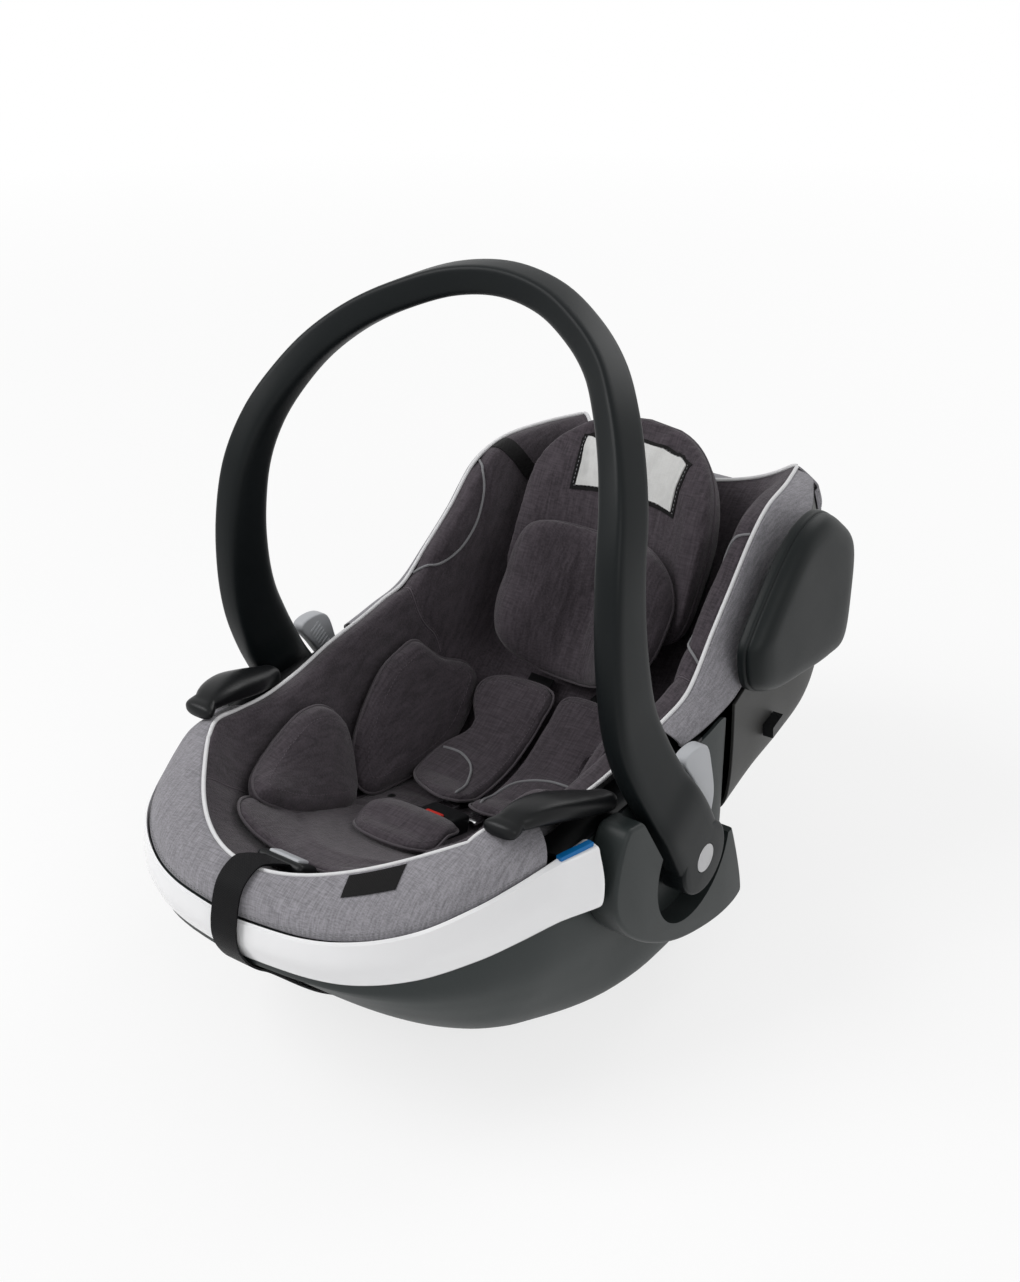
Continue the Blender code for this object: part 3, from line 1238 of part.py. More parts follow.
def build_adjuster(kit):
    """Harness adjuster at the foot end, and its strap over the rim."""
    frame = surface_frame(seat_point, ADJUSTER_ALONG_SHARE, 0.0)
    body = soften(block(frame, ADJUSTER_SIZE, ADJUSTER_LIFT), SHELL_WALL)
    housing = kit.add("adjuster_housing", body, "black")
    top = ADJUSTER_LIFT + ADJUSTER_SIZE[2] / 2
    room = tuple(size + 2 * GAP for size in ADJUSTER_BUTTON_SIZE[:2])
    room = room + (2 * ADJUSTER_BUTTON_SIZE[2],)
    boolean(housing, kit.cutter("adjuster_pocket", block(frame, room, top)))
    lift = top + ADJUSTER_BUTTON_RISE - ADJUSTER_BUTTON_SIZE[2] / 2
    button = block(frame, ADJUSTER_BUTTON_SIZE, lift)
    kit.add("adjuster_button", button, "lever", frame[0] + frame[3] * lift)
    path = [side_place(shares) for shares in STRAP_PATH_SHARES]
    path += [(reach(share), hull_underside(reach(share)) - drop)
             for share, drop in zip(STRAP_UNDER_SHARES, STRAP_DROPS)]
    rows = len(path) - 1

    def place(u, v, lift):
        position = (v + 1) / 2 * rows
        y, z = spline(path, position)
        y0, z0 = spline(path, position - STRAP_TURN_SHARE)
        y1, z1 = spline(path, position + STRAP_TURN_SHARE)
        away = Vector((0.0, z0 - z1, y1 - y0)).normalized()
        return Vector((u * WEB_HALF, y, z)) - away * lift
    kit.add("adjuster_strap", slab(2, STRAP_STEPS, place, 0.0, WEB_WALL), "web")


def main():
    clear_scene()
    kit = Kit()
    base, back = build_base_shell(kit), build_back_shell(kit)
    liner = build_seat(kit)
    build_base_ribs(kit, base, liner)
    build_back_ribs(kit, back, liner)
    for build in (build_dock_bars, build_foot_cover, build_side_covers, build_rim_trim,
                  build_belt_slides, build_ledges, build_belt_hooks, build_hubs,
                  build_handle, build_levers, build_guard, build_headrest_rail,
                  build_headrest, build_inlay, build_buckle, build_harness,
                  build_adjuster):
        build(kit)


if __name__ == "__main__":
    main()
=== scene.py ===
"""Looks of the infant carrier: fabrics, pads, piping, moulded shells, handle and stage.

It loads the packed model as a fixed frame and dresses it. Lengths are in metres, in the
part's frame: X along the handle's pivots, -Y to the foot end, +Z up.
"""
import math
from functools import lru_cache

import bpy
import bmesh
from mathutils import Matrix, Vector, kdtree, noise
from mathutils.bvhtree import BVHTree


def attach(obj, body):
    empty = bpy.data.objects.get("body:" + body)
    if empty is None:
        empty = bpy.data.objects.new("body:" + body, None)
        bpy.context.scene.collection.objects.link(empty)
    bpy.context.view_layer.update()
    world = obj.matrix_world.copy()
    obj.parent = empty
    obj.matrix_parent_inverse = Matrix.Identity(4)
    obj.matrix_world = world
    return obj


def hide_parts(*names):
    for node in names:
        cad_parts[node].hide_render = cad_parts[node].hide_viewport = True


bl_info = {
    "name": "Infant carrier looks",
    "version": (1, 0, 0),
    "blender": (4, 5, 0),
    "location": "3D View > Sidebar > Carrier",
    "description": "Dresses the packed infant carrier with fabric, pads and finishes",
    "category": "Object",
}

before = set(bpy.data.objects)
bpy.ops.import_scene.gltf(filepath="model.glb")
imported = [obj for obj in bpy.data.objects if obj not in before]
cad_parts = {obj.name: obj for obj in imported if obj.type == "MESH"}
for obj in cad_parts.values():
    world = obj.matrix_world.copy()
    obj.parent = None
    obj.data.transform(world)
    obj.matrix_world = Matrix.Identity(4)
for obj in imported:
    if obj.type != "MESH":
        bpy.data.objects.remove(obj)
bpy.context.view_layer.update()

# Driving sizes of the body
BODY_HALF_WIDTH = 0.160
FOOT_REACH = 0.305
HEAD_REACH = 0.325
BODY_HEIGHT = 0.360
PIVOT_HEIGHT_SHARE = 0.40278
PIVOT_HEIGHT = PIVOT_HEIGHT_SHARE * BODY_HEIGHT
SOLE_FRONT = 0.045
SOLE_REAR = 0.065
ROCKER_RADIUS = 0.280
HEEL_RADIUS = 0.050

# Walls and clearances
SHELL_WALL = 0.003
COVER_WALL = 0.004
TRIM_WALL = 0.003
BAND_WALL = 0.003
WEB_WALL = 0.0016
GAP = 0.0003
LAYER_GAP = 0.0006
CUT_OVERRUN = 0.002

# Guide curves as shares: x of the half width, y of the reach on its side, z of the height
SEAT_LINE_SHARES = (
    (-1.0, 0.617), (-0.918, 0.564), (-0.787, 0.494), (-0.623, 0.417), (-0.426, 0.344),
    (-0.23, 0.294), (-0.033, 0.272), (0.154, 0.294), (0.323, 0.375), (0.477, 0.486),
    (0.631, 0.617), (0.738, 0.728), (0.815, 0.819), (0.871, 0.883), (0.898, 0.925),
)
RIM_SIDE_SHARES = (
    (0.819, -0.679, 0.667), (0.863, -0.623, 0.683), (0.919, -0.508, 0.656),
    (0.956, -0.377, 0.636), (0.981, -0.23, 0.639), (1.0, -0.082, 0.658), (1.0, 0.062, 0.675),
    (1.0, 0.169, 0.692), (0.975, 0.252, 0.717), (0.956, 0.345, 0.789), (0.938, 0.452, 0.869),
    (0.925, 0.563, 0.961), (0.887, 0.683, 1.0), (0.825, 0.846, 1.0), (0.737, 1.0, 0.992),
)
# How far the bowl's section is a U with a roll (1) rather than a round arc (0)
BOWL_SHARES = (0, 0.15, 0.45, 0.8, 1, 1, 1, 1, 1, 1, 1, 1, 0.9, 0.6, 0.2)
# The U section from its middle to its piping: share of width, share of depth
WALL_SHARES = (
    (0, 0), (0.11, 0.001), (0.22, 0.005), (0.33, 0.013), (0.44, 0.03), (0.55, 0.065),
    (0.65, 0.13), (0.73, 0.25), (0.785, 0.43), (0.82, 0.65), (0.848, 0.87), (0.905, 1.03),
    (1.0, 1.0),
)

# Rocker shell: top edge and waist, from the foot round the side to the tail
SHELL_EDGE_SHARES = (
    (0, -1.075, 0.525), (0.388, -1.049, 0.528), (0.644, -0.993, 0.536), (0.844, -0.902, 0.55),
    (0.975, -0.777, 0.567), (1.044, -0.666, 0.578), (1.1, -0.541, 0.589),
    (1.137, -0.393, 0.597), (1.144, -0.197, 0.6), (1.144, 0, 0.603), (1.144, 0.169, 0.611),
    (1.131, 0.277, 0.617), (1.087, 0.323, 0.569), (0.969, 0.335, 0.458),
    (0.625, 0.338, 0.314), (0, 0.338, 0.286),
)
SHELL_WAIST_SHARES = (
    (0, -1.056, 0.417), (0.375, -1.03, 0.417), (0.613, -0.984, 0.419), (0.819, -0.892, 0.425),
    (0.969, -0.764, 0.433), (1.05, -0.656, 0.439), (1.109, -0.541, 0.444),
    (1.141, -0.393, 0.45), (1.147, -0.197, 0.45), (1.147, 0, 0.45), (1.147, 0.169, 0.45),
    (1.131, 0.277, 0.444), (1.087, 0.323, 0.417), (0.969, 0.335, 0.333),
    (0.625, 0.338, 0.236), (0, 0.338, 0.222),
)
# Rings below the waist: share of the plan at the foot, at the hubs, and share of the drop
HULL_RING_SHARES = (
    (0.985, 1.0, 0.3), (0.945, 0.995, 0.5), (0.90, 0.985, 0.65), (0.85, 0.965, 0.78),
    (0.79, 0.935, 0.88), (0.72, 0.89, 0.95), (0.64, 0.83, 1), (0.54, 0.72, 1),
    (0.43, 0.58, 1), (0.31, 0.43, 1), (0.19, 0.27, 1), (0.07, 0.10, 1),
)
HULL_CENTRE_SHARE = -0.262
HULL_FOOT_SHARE = -0.55
HULL_HUB_SHARE = 0.05

# Back shell: upper edges, middle line, and its section from middle to edge
BACK_EDGE_SHARES = (
    (1.125, 0.343, 0.624), (1.1, 0.462, 0.656), (1.075, 0.585, 0.714), (1.062, 0.677, 0.792),
    (1.03, 0.763, 0.869), (0.97, 0.877, 0.925), (0.845, 1.0, 0.953),
)
BACK_LINE_SHARES = (
    (0.343, 0.294), (0.529, 0.325), (0.723, 0.336), (0.892, 0.372), (0.991, 0.458),
    (1.028, 0.625), (1.028, 0.894),
)
BACK_WALL_SHARES = (
    (0, 1), (0.2, 1), (0.4, 1), (0.6, 1), (0.78, 0.995), (0.91, 0.96), (0.975, 0.86),
    (1.0, 0.66), (1.005, 0.36), (1, 0),
)

# Steel bars and ribs in the base
DOCK_BAR_Y_SHARES = (-0.46, 0.16)
DOCK_BAR_FLOOR = 0.016
DOCK_WINDOW_SHARE = 0.34
DOCK_WINDOW_LENGTH = 0.036

# White trim round the rocker's rim, and the blue slides on it
TRIM_TOP_RISES = (0.001, 0.002, 0.003, 0.004, 0.004, 0.004, 0.005, 0.010)
TRIM_FLARES = (0, 0, 0, 0, 0, 0.001, 0.004, 0.020)
TRIM_FOOT_RISE = 0.007
TRIM_BULGE = 0.004
TRIM_END_SHARE = 6.75
TRIM_SIDE_GAP = 0.0011
SLIDE_START_SHARE = 6.1
SLIDE_END_SHARE = 6.7
SLIDE_HEIGHT = 0.004
SLIDE_WIDTH = 0.006

# Grey covers between the piping and the shells
BAND_BULGE = 0.009
BAND_END_SHARE = 5.9
BAND_CORNER_SHARE = 4.0
BAND_PACE_SHARE = 0.083
BAND_TILT_SHARE = 0.55
BAND_TUCK = 0.0009
WING_ALONG_SHARES = (0.46, 0.985)
WING_BULGE = 0.006
WING_EDGE_SHARES = (
    (1.11, 0.154, 0.630), (1.11, 0.24, 0.634), (1.10, 0.33, 0.640), (1.085, 0.40, 0.652),
    (1.07, 0.50, 0.683), (1.05, 0.60, 0.737), (1.03, 0.70, 0.822), (0.99, 0.80, 0.895),
    (0.93, 0.90, 0.945), (0.82, 1.0, 0.965),
)

# Ledges between the bucket's side rims and the shell's edge: shares of the width and drop
LEDGE_DROP = 0.003
LEDGE_PROFILE_SHARES = (
    (0.95, -1.0), (1.0, -0.733), (1.0625, -0.333), (1.1125, 0.2), (1.14375, 0.2),
)
LEDGE_RANGE_SHARES = (6.3, 9.9)

# Belt hooks on the rims: shares of the body and of the hook's half width and half height
HOOK_HALF_WIDTH = 0.018
HOOK_HALF_HEIGHT = 0.008
HOOK_PATH_SHARES = (
    (1.10312, -0.17705, 0.62778, 0.389, 0.75), (1.0875, -0.27869, 0.63889, 0.556, 0.875),
    (1.04375, -0.38689, 0.66944, 0.889, 1.0), (1.00625, -0.4918, 0.69861, 1.0, 1.0),
    (0.975, -0.58361, 0.71111, 0.778, 0.75), (0.94375, -0.65574, 0.70278, 0.222, 0.375),
)

# Hub housings, pins, washers and caps
HUB_REACH_SHARE = 1.15
HUB_DEPTH = 0.0285
HUB_FLOOR_WALL = 0.0075
HUB_INNER = HUB_REACH_SHARE * BODY_HALF_WIDTH
HUB_OUTER = HUB_INNER + HUB_DEPTH
HUB_FLOOR = HUB_INNER + HUB_FLOOR_WALL
HUB_OUTLINE_SHARES = (
    (-0.377, 0.6167), (-0.4197, 0.4778), (-0.3672, 0.375), (-0.2426, 0.2778), (-0.0721, 0.2),
    (0.1231, 0.1556), (0.24, 0.1611), (0.2523, 0.2083), (0.1908, 0.375), (0.1354, 0.4611),
    (0.0462, 0.5222), (-0.0984, 0.5694), (-0.1967, 0.5972), (-0.3115, 0.6278),
)
HUB_POCKET_CENTRE_SHARES = (-0.0197, 0.4083)
HUB_POCKET_RADIUS = 0.058
HUB_FAN_REACH = 0.250
HUB_FAN_LEAN_DEGREES = -31.0
HUB_FAN_FRONT = 0.034
HUB_FAN_END_DEGREES = 95.0
HUB_FAN_STEP_DEGREES = 1.0
HUB_OVERLAP_SHARE = 0.85
HUB_PLATE_RADIUS = 0.064
PIN_RADIUS = 0.008
PIN_BORE_RADIUS = PIN_RADIUS + GAP
WASHER_WALL = 0.0014
WASHER_INNER = HUB_FLOOR + GAP
WASHER_OUTER = WASHER_INNER + WASHER_WALL
ARM_WALL = 0.026
ARM_INNER = WASHER_OUTER + GAP
ARM_OUTER = ARM_INNER + ARM_WALL
ARM_END_RADIUS = 0.033
CAP_RADIUS = 0.0125
CAP_SIDE_GAP = 0.0005
CAP_BORE_RADIUS = CAP_RADIUS + CAP_SIDE_GAP
CAP_DEPTH = 0.0032
CAP_PROUD = 0.0005
CAP_OUTER = ARM_OUTER + CAP_PROUD
CAP_INNER = CAP_OUTER - CAP_DEPTH

# Carrying handle: sizes, and its path from a hub to the top as shares of them
HANDLE_RISE = 0.443
HANDLE_HALF_DEPTH = 0.030
HANDLE_SPAN = (ARM_INNER + ARM_OUTER) / 2
# Shares: x of the span, y and z of the rise, half depth, half width of the arm's wall
HANDLE_PATH_SHARES = (
    (1.001, 0.0, 0.0, 1.0, 1.0), (1.001, -0.0406, 0.0722, 1.0, 1.0),
    (0.9956, -0.0745, 0.1287, 0.95, 1.0), (0.9709, -0.1084, 0.1828, 0.873, 1.0),
    (0.9492, -0.1535, 0.2641, 0.817, 1.0), (0.9322, -0.1896, 0.3499, 0.75, 1.0),
    (0.9201, -0.2065, 0.4402, 0.7, 1.0), (0.9031, -0.2099, 0.5418, 0.65, 1.0),
    (0.8789, -0.1964, 0.6433, 0.6, 1.0), (0.8402, -0.1637, 0.7269, 0.55, 0.985),
    (0.7748, -0.123, 0.7968, 0.5, 0.977), (0.6852, -0.0779, 0.86, 0.467, 0.969),
    (0.5666, -0.0271, 0.912, 0.44, 0.962), (0.4116, 0.0158, 0.9526, 0.427, 0.962),
    (0.2179, 0.0485, 0.9865, 0.417, 0.962), (0.0, 0.0587, 1.0, 0.417, 0.962),
)
HANDLE_BEND_SHARE = 0.5756
ARM_ROWS = 8
SEARCH_STEPS = 40
# Section of the handle: how square its outer and its inner half are, and its growth
HANDLE_SQUARE_OUTER = 6.0
HANDLE_SQUARE_INNER = 3.4
HANDLE_GROWTH = 0.13
HANDLE_ROUND = 36
HANDLE_WHOLE_PATH = HANDLE_PATH_SHARES + (
    (-HANDLE_PATH_SHARES[-2][0],) + HANDLE_PATH_SHARES[-2][1:],)
HANDLE_FIRST_SHARE = 0.35
HANDLE_STEP_SHARE = 0.05

# Squeeze levers behind the handle's arms
LEVER_INSET = 0.0015
LEVER_WALL = 0.012
LEVER_INNER = ARM_INNER + LEVER_INSET
LEVER_OUTER = LEVER_INNER + LEVER_WALL
# Lever outline: share of the arm's half depth behind its middle, share of the rise
LEVER_OUTLINE_SHARES = (
    (1.161, 0.06253), (1.3062, 0.09029), (1.3368, 0.11061), (1.3248, 0.1614),
    (1.2655, 0.21558), (1.8618, 0.22912), (2.4227, 0.21445), (2.2596, 0.15801),
    (1.8793, 0.09481), (1.2767, 0.04605),
)

# Side guard, its clips and the belt guides behind the back
GUARD_OUTLINE_SHARES = (
    (0.3231, 0.7694), (0.3538, 0.8222), (0.4154, 0.8833), (0.48, 0.9417), (0.56, 0.9972),
    (0.6369, 1.0194), (0.7138, 1.0139), (0.8062, 0.9639), (0.8923, 0.8833), (0.9046, 0.7417),
    (0.8831, 0.6056), (0.7815, 0.5889), (0.6154, 0.6028), (0.4554, 0.625), (0.3538, 0.675),
)
GUARD_REACH_SHARE = 1.125
GUARD_DEPTH = 0.025
GUARD_INNER = GUARD_REACH_SHARE * BODY_HALF_WIDTH
GUARD_OUTER = GUARD_INNER + GUARD_DEPTH

# Headrest: places along its slide, across it and in front of its back plane
HEADREST_FOOT_SHARES = (0.0, 0.60123, 0.59722)
HEADREST_SLOPE_SHARE = 0.87508
HEADREST_SLOPE = HEADREST_SLOPE_SHARE * HEAD_REACH / BODY_HEIGHT
HEADREST_SIDE_RISE = 0.014
HEADREST_RISE_WIDTH = 0.096
HEADREST_RISE_POWER = 3.5
HEADREST_SHELL_WALL = 0.010
HEADREST_COVER_ALONG = (-0.012, 0.182)
HEADREST_LEAN_START = 0.080
HEADREST_FORWARD_SHARE = 0.40
HEADREST_FRONT_LOW = 0.022
HEADREST_FRONT_SHARE = 0.30
PILLOW_HALF = 0.088
PILLOW_ALONG = (-0.068, 0.070)
PILLOW_BACK = 0.0165
PILLOW_GAP = 0.0006
PILLOW_SIDE_RISE = 0.024
PILLOW_MIDDLE = 0.020
PILLOW_LOBE = 0.050
PILLOW_LOBE_PLACE = 0.060
PILLOW_LOBE_SPREAD = 0.030

# Lifts of the lower and upper faces of the inlay pads over the bowl
CUSHION_LIFTS = (0.0017, 0.0158)
HIP_LIFTS = (0.0019, 0.0280)
TORSO_LIFTS = (0.0019, 0.0270)
CROTCH_LIFTS = (0.0202, 0.0360)
SHOULDER_LIFTS = (0.0207, 0.0340)

# Harness
BUCKLE_ALONG_SHARE = 0.338
BUCKLE_SIZE = (0.040, 0.050, 0.020)
BUCKLE_LIFT = 0.0282
BUTTON_SIZE = (0.018, 0.016, 0.006)
BUTTON_RISE = 0.002
BUTTON_BACK_SHARE = -0.18
TONGUE_SIZE = (0.016, 0.022, 0.004)
TONGUE_GAP = 0.0037
TONGUE_ACROSS_SHARE = 0.078
TONGUE_LIFT = 0.0282
WEB_HALF = 0.0125
CROTCH_WEB_SHARE = 0.235
CROTCH_WEB_GAP = 0.0013
CROTCH_WEB_LIFT = 0.0180
SHOULDER_WEB_GAP = 0.0021
SHOULDER_WEB_SHARES = (0.425, 0.465, 0.505, 0.545, 0.585, 0.610, 0.625)
SHOULDER_WEB_LIFTS = (
    0.0266, 0.0190, 0.0178, 0.0178, 0.0178, 0.0172, 0.0130, 0.0080,
)
SHOULDER_ACROSS_SHARES = (0.090, 0.180)
LAP_WEB_SHARES = (0.150, 0.240, 0.330, 0.375, 0.402, 0.425)
LAP_WEB_LIFTS = (0.0225, 0.0185, 0.0170, 0.0138, 0.0080, 0.0040)
LAP_WEB_REACHES = (0.0173, 0.0294)

# Adjuster at the foot end, and its strap over the rim: shares of the strap's middle line
ADJUSTER_ALONG_SHARE = 0.095
ADJUSTER_SIZE = (0.046, 0.024, 0.010)
ADJUSTER_LIFT = 0.0078
ADJUSTER_BUTTON_SIZE = (0.030, 0.014, 0.006)
ADJUSTER_BUTTON_RISE = 0.002
STRAP_PATH_SHARES = (
    (-0.89902, 0.58139), (-0.93115, 0.59944), (-0.96721, 0.61722), (-1.00328, 0.62889),
    (-1.04, 0.62139), (-1.0682, 0.60222), (-1.08328, 0.575), (-1.0918, 0.54722),
    (-1.09836, 0.51944), (-1.09967, 0.49028), (-1.09213, 0.46056), (-1.07639, 0.43278),
)
# Then under the rocker shell: shares of the foot's reach, and drops below the shell
STRAP_UNDER_SHARES = (-1.05639, -1.03049, -0.99672, -0.95082, -0.88525, -0.81967, -0.7541)
STRAP_DROPS = (0.0035, 0.0031, 0.0029, 0.0030, 0.0028, 0.0027, 0.0021)
STRAP_TURN_SHARE = 0.1

# Mesh density and small values
SIDES = (("left", -1), ("right", 1))
STEP_SHARE = 0.004
HULL_STEPS = 40
ROUND_STEPS = 96
FINE_SHARE = 1e-6
MERGE_DISTANCE = 1e-6
OUTLINE_STEPS = 96
VOXEL = 0.004
SIM_FRAMES = 20

# Seams and piping drawn on the bowl, as (along, across) shares; the left side is negative
WING_ARC_SHARES = (
    (0.7937, 0.985), (0.7662, 0.8763), (0.7361, 0.8339), (0.7028, 0.8189), (0.663, 0.8315),
    (0.6202, 0.8859), (0.594, 0.99),
)
TORSO_SEAM_SHARES = ((0.559, 0.985), (0.5493, 0.8309), (0.5704, 0.7292), (0.5709, 0.6716))
HIP_SEAM_SHARES = ((0.004, 0.5602), (0.1134, 0.5438), (0.1735, 0.5495))

# Outlines of the pads on the bowl as closed rings of (along, across) shares
HIP_RING = (
    (0.150, 0.44), (0.150, 0.56), (0.19, 0.74), (0.222, 0.82), (0.273, 0.825), (0.32, 0.76),
    (0.345, 0.66), (0.345, 0.50), (0.32, 0.40), (0.273, 0.395), (0.222, 0.40), (0.19, 0.415),
)
TORSO_RING = (
    (0.355, 0.44), (0.355, 0.66), (0.40, 0.79), (0.45, 0.815), (0.50, 0.80), (0.55, 0.70),
    (0.585, 0.60), (0.585, 0.48), (0.55, 0.42), (0.50, 0.39), (0.45, 0.40), (0.40, 0.415),
)
SHOULDER_RING = (
    (0.385, 0.05), (0.380, 0.14), (0.40, 0.31), (0.43, 0.39), (0.475, 0.405), (0.52, 0.335),
    (0.54, 0.33), (0.567, 0.42), (0.59, 0.41), (0.606, 0.28), (0.606, 0.05), (0.567, 0.026),
    (0.52, 0.026), (0.475, 0.026), (0.43, 0.026), (0.40, 0.026),
)
CUSHION_RING = (
    (0.126, 0.0), (0.124, 0.14), (0.108, 0.27), (0.104, 0.37), (0.132, 0.46), (0.20, 0.50),
    (0.30, 0.47), (0.42, 0.42), (0.50, 0.36), (0.525, 0.20), (0.53, 0.0), (0.525, -0.20),
    (0.50, -0.36), (0.42, -0.42), (0.30, -0.47), (0.20, -0.50), (0.132, -0.46),
    (0.104, -0.37), (0.108, -0.27), (0.124, -0.14),
)
CROTCH_RING = (
    (0.244, 0.0), (0.248, 0.13), (0.264, 0.20), (0.290, 0.21), (0.315, 0.17), (0.321, 0.0),
    (0.315, -0.17), (0.290, -0.21), (0.264, -0.20), (0.248, -0.13),
)
SHOULDER_ARC_LEFT = (
    (0.4723, 0.3694), (0.4738, 0.2426), (0.46, 0.1473), (0.4303, 0.0893), (0.392, 0.0529),
)
SHOULDER_ARC_RIGHT = (
    (0.3900, 0.0814), (0.4207, 0.0504), (0.4553, 0.0626), (0.4719, 0.1226), (0.4822, 0.2354),
    (0.484, 0.36),
)

# Shells, trim, handle and levers
ROCKER_GRID = (128, 56)
BACK_PANEL_SIDE = 0.52
BACK_PANEL_EDGE = 0.02
BACK_PANEL_ALONG = (0.14, 0.86)
BACK_PANEL_DEPTH = 0.0022
TRIM_LIP_SHARE = 0.8
SLIDE_SHARE = 0.7
HANDLE_GROWTH_START = 2
HANDLE_GROWTH_ROWS = 3
HANDLE_ROWS = 110
LEVER_RIBS = 7
LEVER_RIB_RADIUS = 0.0010
LEVER_RIB_SPANS = ((1.45, 0.135, 0.205), (2.0, 0.150, 0.222))

# Side guard, from its inner to its outer face: share of its depth, share of its outline
GUARD_FACE_SHARES = (
    (0, 0.90), (0, 0.95), (0.06, 0.985), (0.12, 1.0), (0.30, 1.0), (0.37, 0.985),
    (0.40, 0.975), (0.46, 0.985), (0.60, 0.97), (0.75, 0.935), (0.87, 0.88), (0.95, 0.80),
    (0.99, 0.70), (1.0, 0.5), (1.0, 0.3), (1.0, 0.1), (1.0, 0.01),
)

# Belt hooks: where the round tips and the raised lip start and how far they run
HOOK_SWELL = 1.25
HOOK_START_SHARE = 0.15
HOOK_TIP = (0.86, 0.14)
HOOK_SQUARE = 0.75
HOOK_LIP = (0.62, 0.3)
HOOK_LIP_SHARES = (0.82, 0.62)

# Seams, stitches and folds of the covers
SEAM_DIP = 0.0022
SEAM_WIDTH = 0.008
SEAM_STEPS = 79
SEAM_RADIUS = 0.0006
SEAM_ROW = 0.0022
STITCH_RADIUS = 0.00035
COVER_FADE = (0.06, 0.05)
COVER_FOLDS = (0.0009, 0.0004)
RIM_STEPS = 150
FOOT_STEPS = 60
PIPING_SIDES = 10
BULGE_POWER = 0.8
WING_LOW_SHARE = 0.418
WING_LOW_EDGE = (1.10, 0.070, 0.628)
HEM_RISE = 0.0022
HEM_INSET = 0.0028
FOOT_FOLD = 0.0012
FOOT_HEM_PLACES = (0.80, 0.88)
SIDE_FOLD = 0.0010
SIDE_HEM_PLACE = 0.86
FLAP_SHARES = (1.0, 0.955)
FLAP_GAP = 0.0014
FLAP_CENTRE_Y = 0.12
FLAP_TILT = 0.35
FLAP_BULGE = 0.0015
FLAP_FOLD = 0.001
FLAP_WALL = BAND_WALL * 0.6
FLAP_REACH = 0.995
FLAP_HEM_PLACE = 0.72

# Labels and the patch
FOOT_LABEL_RANGE = (1.53, 2.32)
FOOT_LABEL_PARTS = (-0.96, -0.32)
WING_LABEL_SHARES = ((0.824, 0.853), (-0.975, -0.70))
PATCH_SHARES = ((0.61, 0.90), (-0.55, 0.60))
PATCH_LIFT = 0.0009
PATCH_LAYERS = (("border", 0.0, 1.0, "label"), ("face", 0.045, 2.4, "label_pale"))
PATCH_START = 1.2
PATCH_SIZE = (0.13, 0.06)
PATCH_STITCH_STEPS = 20
PATCH_STITCH_INSET = 0.02

# Pads; a slope is where it starts along the bowl, how far it runs and its rise
PAD_SPREAD = 0.75
PAD_CROWN = 0.62
PAD_EDGE_SHARE = 0.42
PAD_RAISE = 0.005
PAD_GRID = (72, 28)
PAD_RIM_STEPS = 120
STITCH_SPREAD = 0.93
PIN_REACH = 0.006
SHOULDER_SLOPE = (0.375, 0.06, 0.010)
CROTCH_SLOPE = (0.262, 0.026, 0.012)
CROWN_HALF = 0.098
CROWN_TAPER = 0.02
CROWN_DROP = 0.052
CROWN_WING = 0.026
HEAD_GRID = (96, 40)
CLOTH_QUALITY = 4
CLOTH_STIFFNESS = 12
CLOTH_BENDING = 0.4
WEB_EDGE = 0.0003

# Floor and lamps: name, setting of its power, place and size
FLOOR_HALF = 60.0
FLOOR_NEAR = 0.9
FLOOR_FAR = 3.0
FLOOR_WHITE_SHARE = 0.76
LAMPS = (
    ("key", "key_power", (-1.5, -1.7, 2.5), 1.8),
    ("fill", "fill_power", (2.3, -1.2, 1.5), 1.6),
    ("rim", "fill_power", (0.4, 2.3, 1.9), 1.4),
)
LAMP_TARGET = (0.0, 0.0, 0.22)

# Camera
CAMERA_PLACE = (0.8095, -1.1125, 1.0112)
CAMERA_AZIMUTH_DEGREES = 35.2764
CAMERA_ELEVATION_DEGREES = 28.0
CAMERA_LENS_MM = 51.506
CAMERA_SENSOR_MM = 36.0


def between(four, part):
    """Values on the smooth curve between the middle two of four rows of numbers."""
    return tuple(0.5 * (2 * b + (c - a) * part + (2 * a - 5 * b + 4 * c - d) * part ** 2
                        + (3 * b - a - 3 * c + d) * part ** 3) for a, b, c, d in zip(*four))


def spline(rows, position):
    """Smooth curve through rows of numbers, where position counts rows from zero."""
    last = len(rows) - 1
    position = min(max(position, 0.0), float(last))
    index = min(int(position), last - 1)
    four = [rows[min(max(index + step, 0), last)] for step in (-1, 0, 1, 2)]
    return between(four, position - index)


def closed_spline(rows, share):
    """Smooth closed curve through rows of numbers; share counts once round as 1."""
    count = len(rows)
    position = share % 1.0 * count
    index = int(position) % count
    four = [rows[(index + step) % count] for step in (-1, 0, 1, 2)]
    return between(four, position - int(position))


def spline_value(values, position):
    """Smooth curve through single numbers."""
    return spline([(value,) for value in values], position)[0]


def ease(value):
    """Smooth step from 0 to 1."""
    value = min(max(value, 0.0), 1.0)
    return value * value * (3 - 2 * value)


def blend(low, high, part):
    """Value between two numbers."""
    return low + (high - low) * part


def reach(share):
    """Distance along Y for a share of the foot's or the head's reach."""
    return share * (FOOT_REACH if share < 0 else HEAD_REACH)


def squared(values, power):
    """Numbers from -1 to 1 pushed out towards a square."""
    return (math.copysign(abs(value) ** power, value) for value in values)


def body_point(shares):
    """Point on the right half of the body from its three shares."""
    return Vector((shares[0] * BODY_HALF_WIDTH, reach(shares[1]), shares[2] * BODY_HEIGHT))


def side_place(shares):
    """Y and Z of a place on the body from its two shares."""
    return reach(shares[0]), shares[1] * BODY_HEIGHT


def arm_place(shares):
    """Y and Z of a place on the handle's arm from its two shares of the rise."""
    return shares[0] * HANDLE_RISE, PIVOT_HEIGHT + shares[1] * HANDLE_RISE


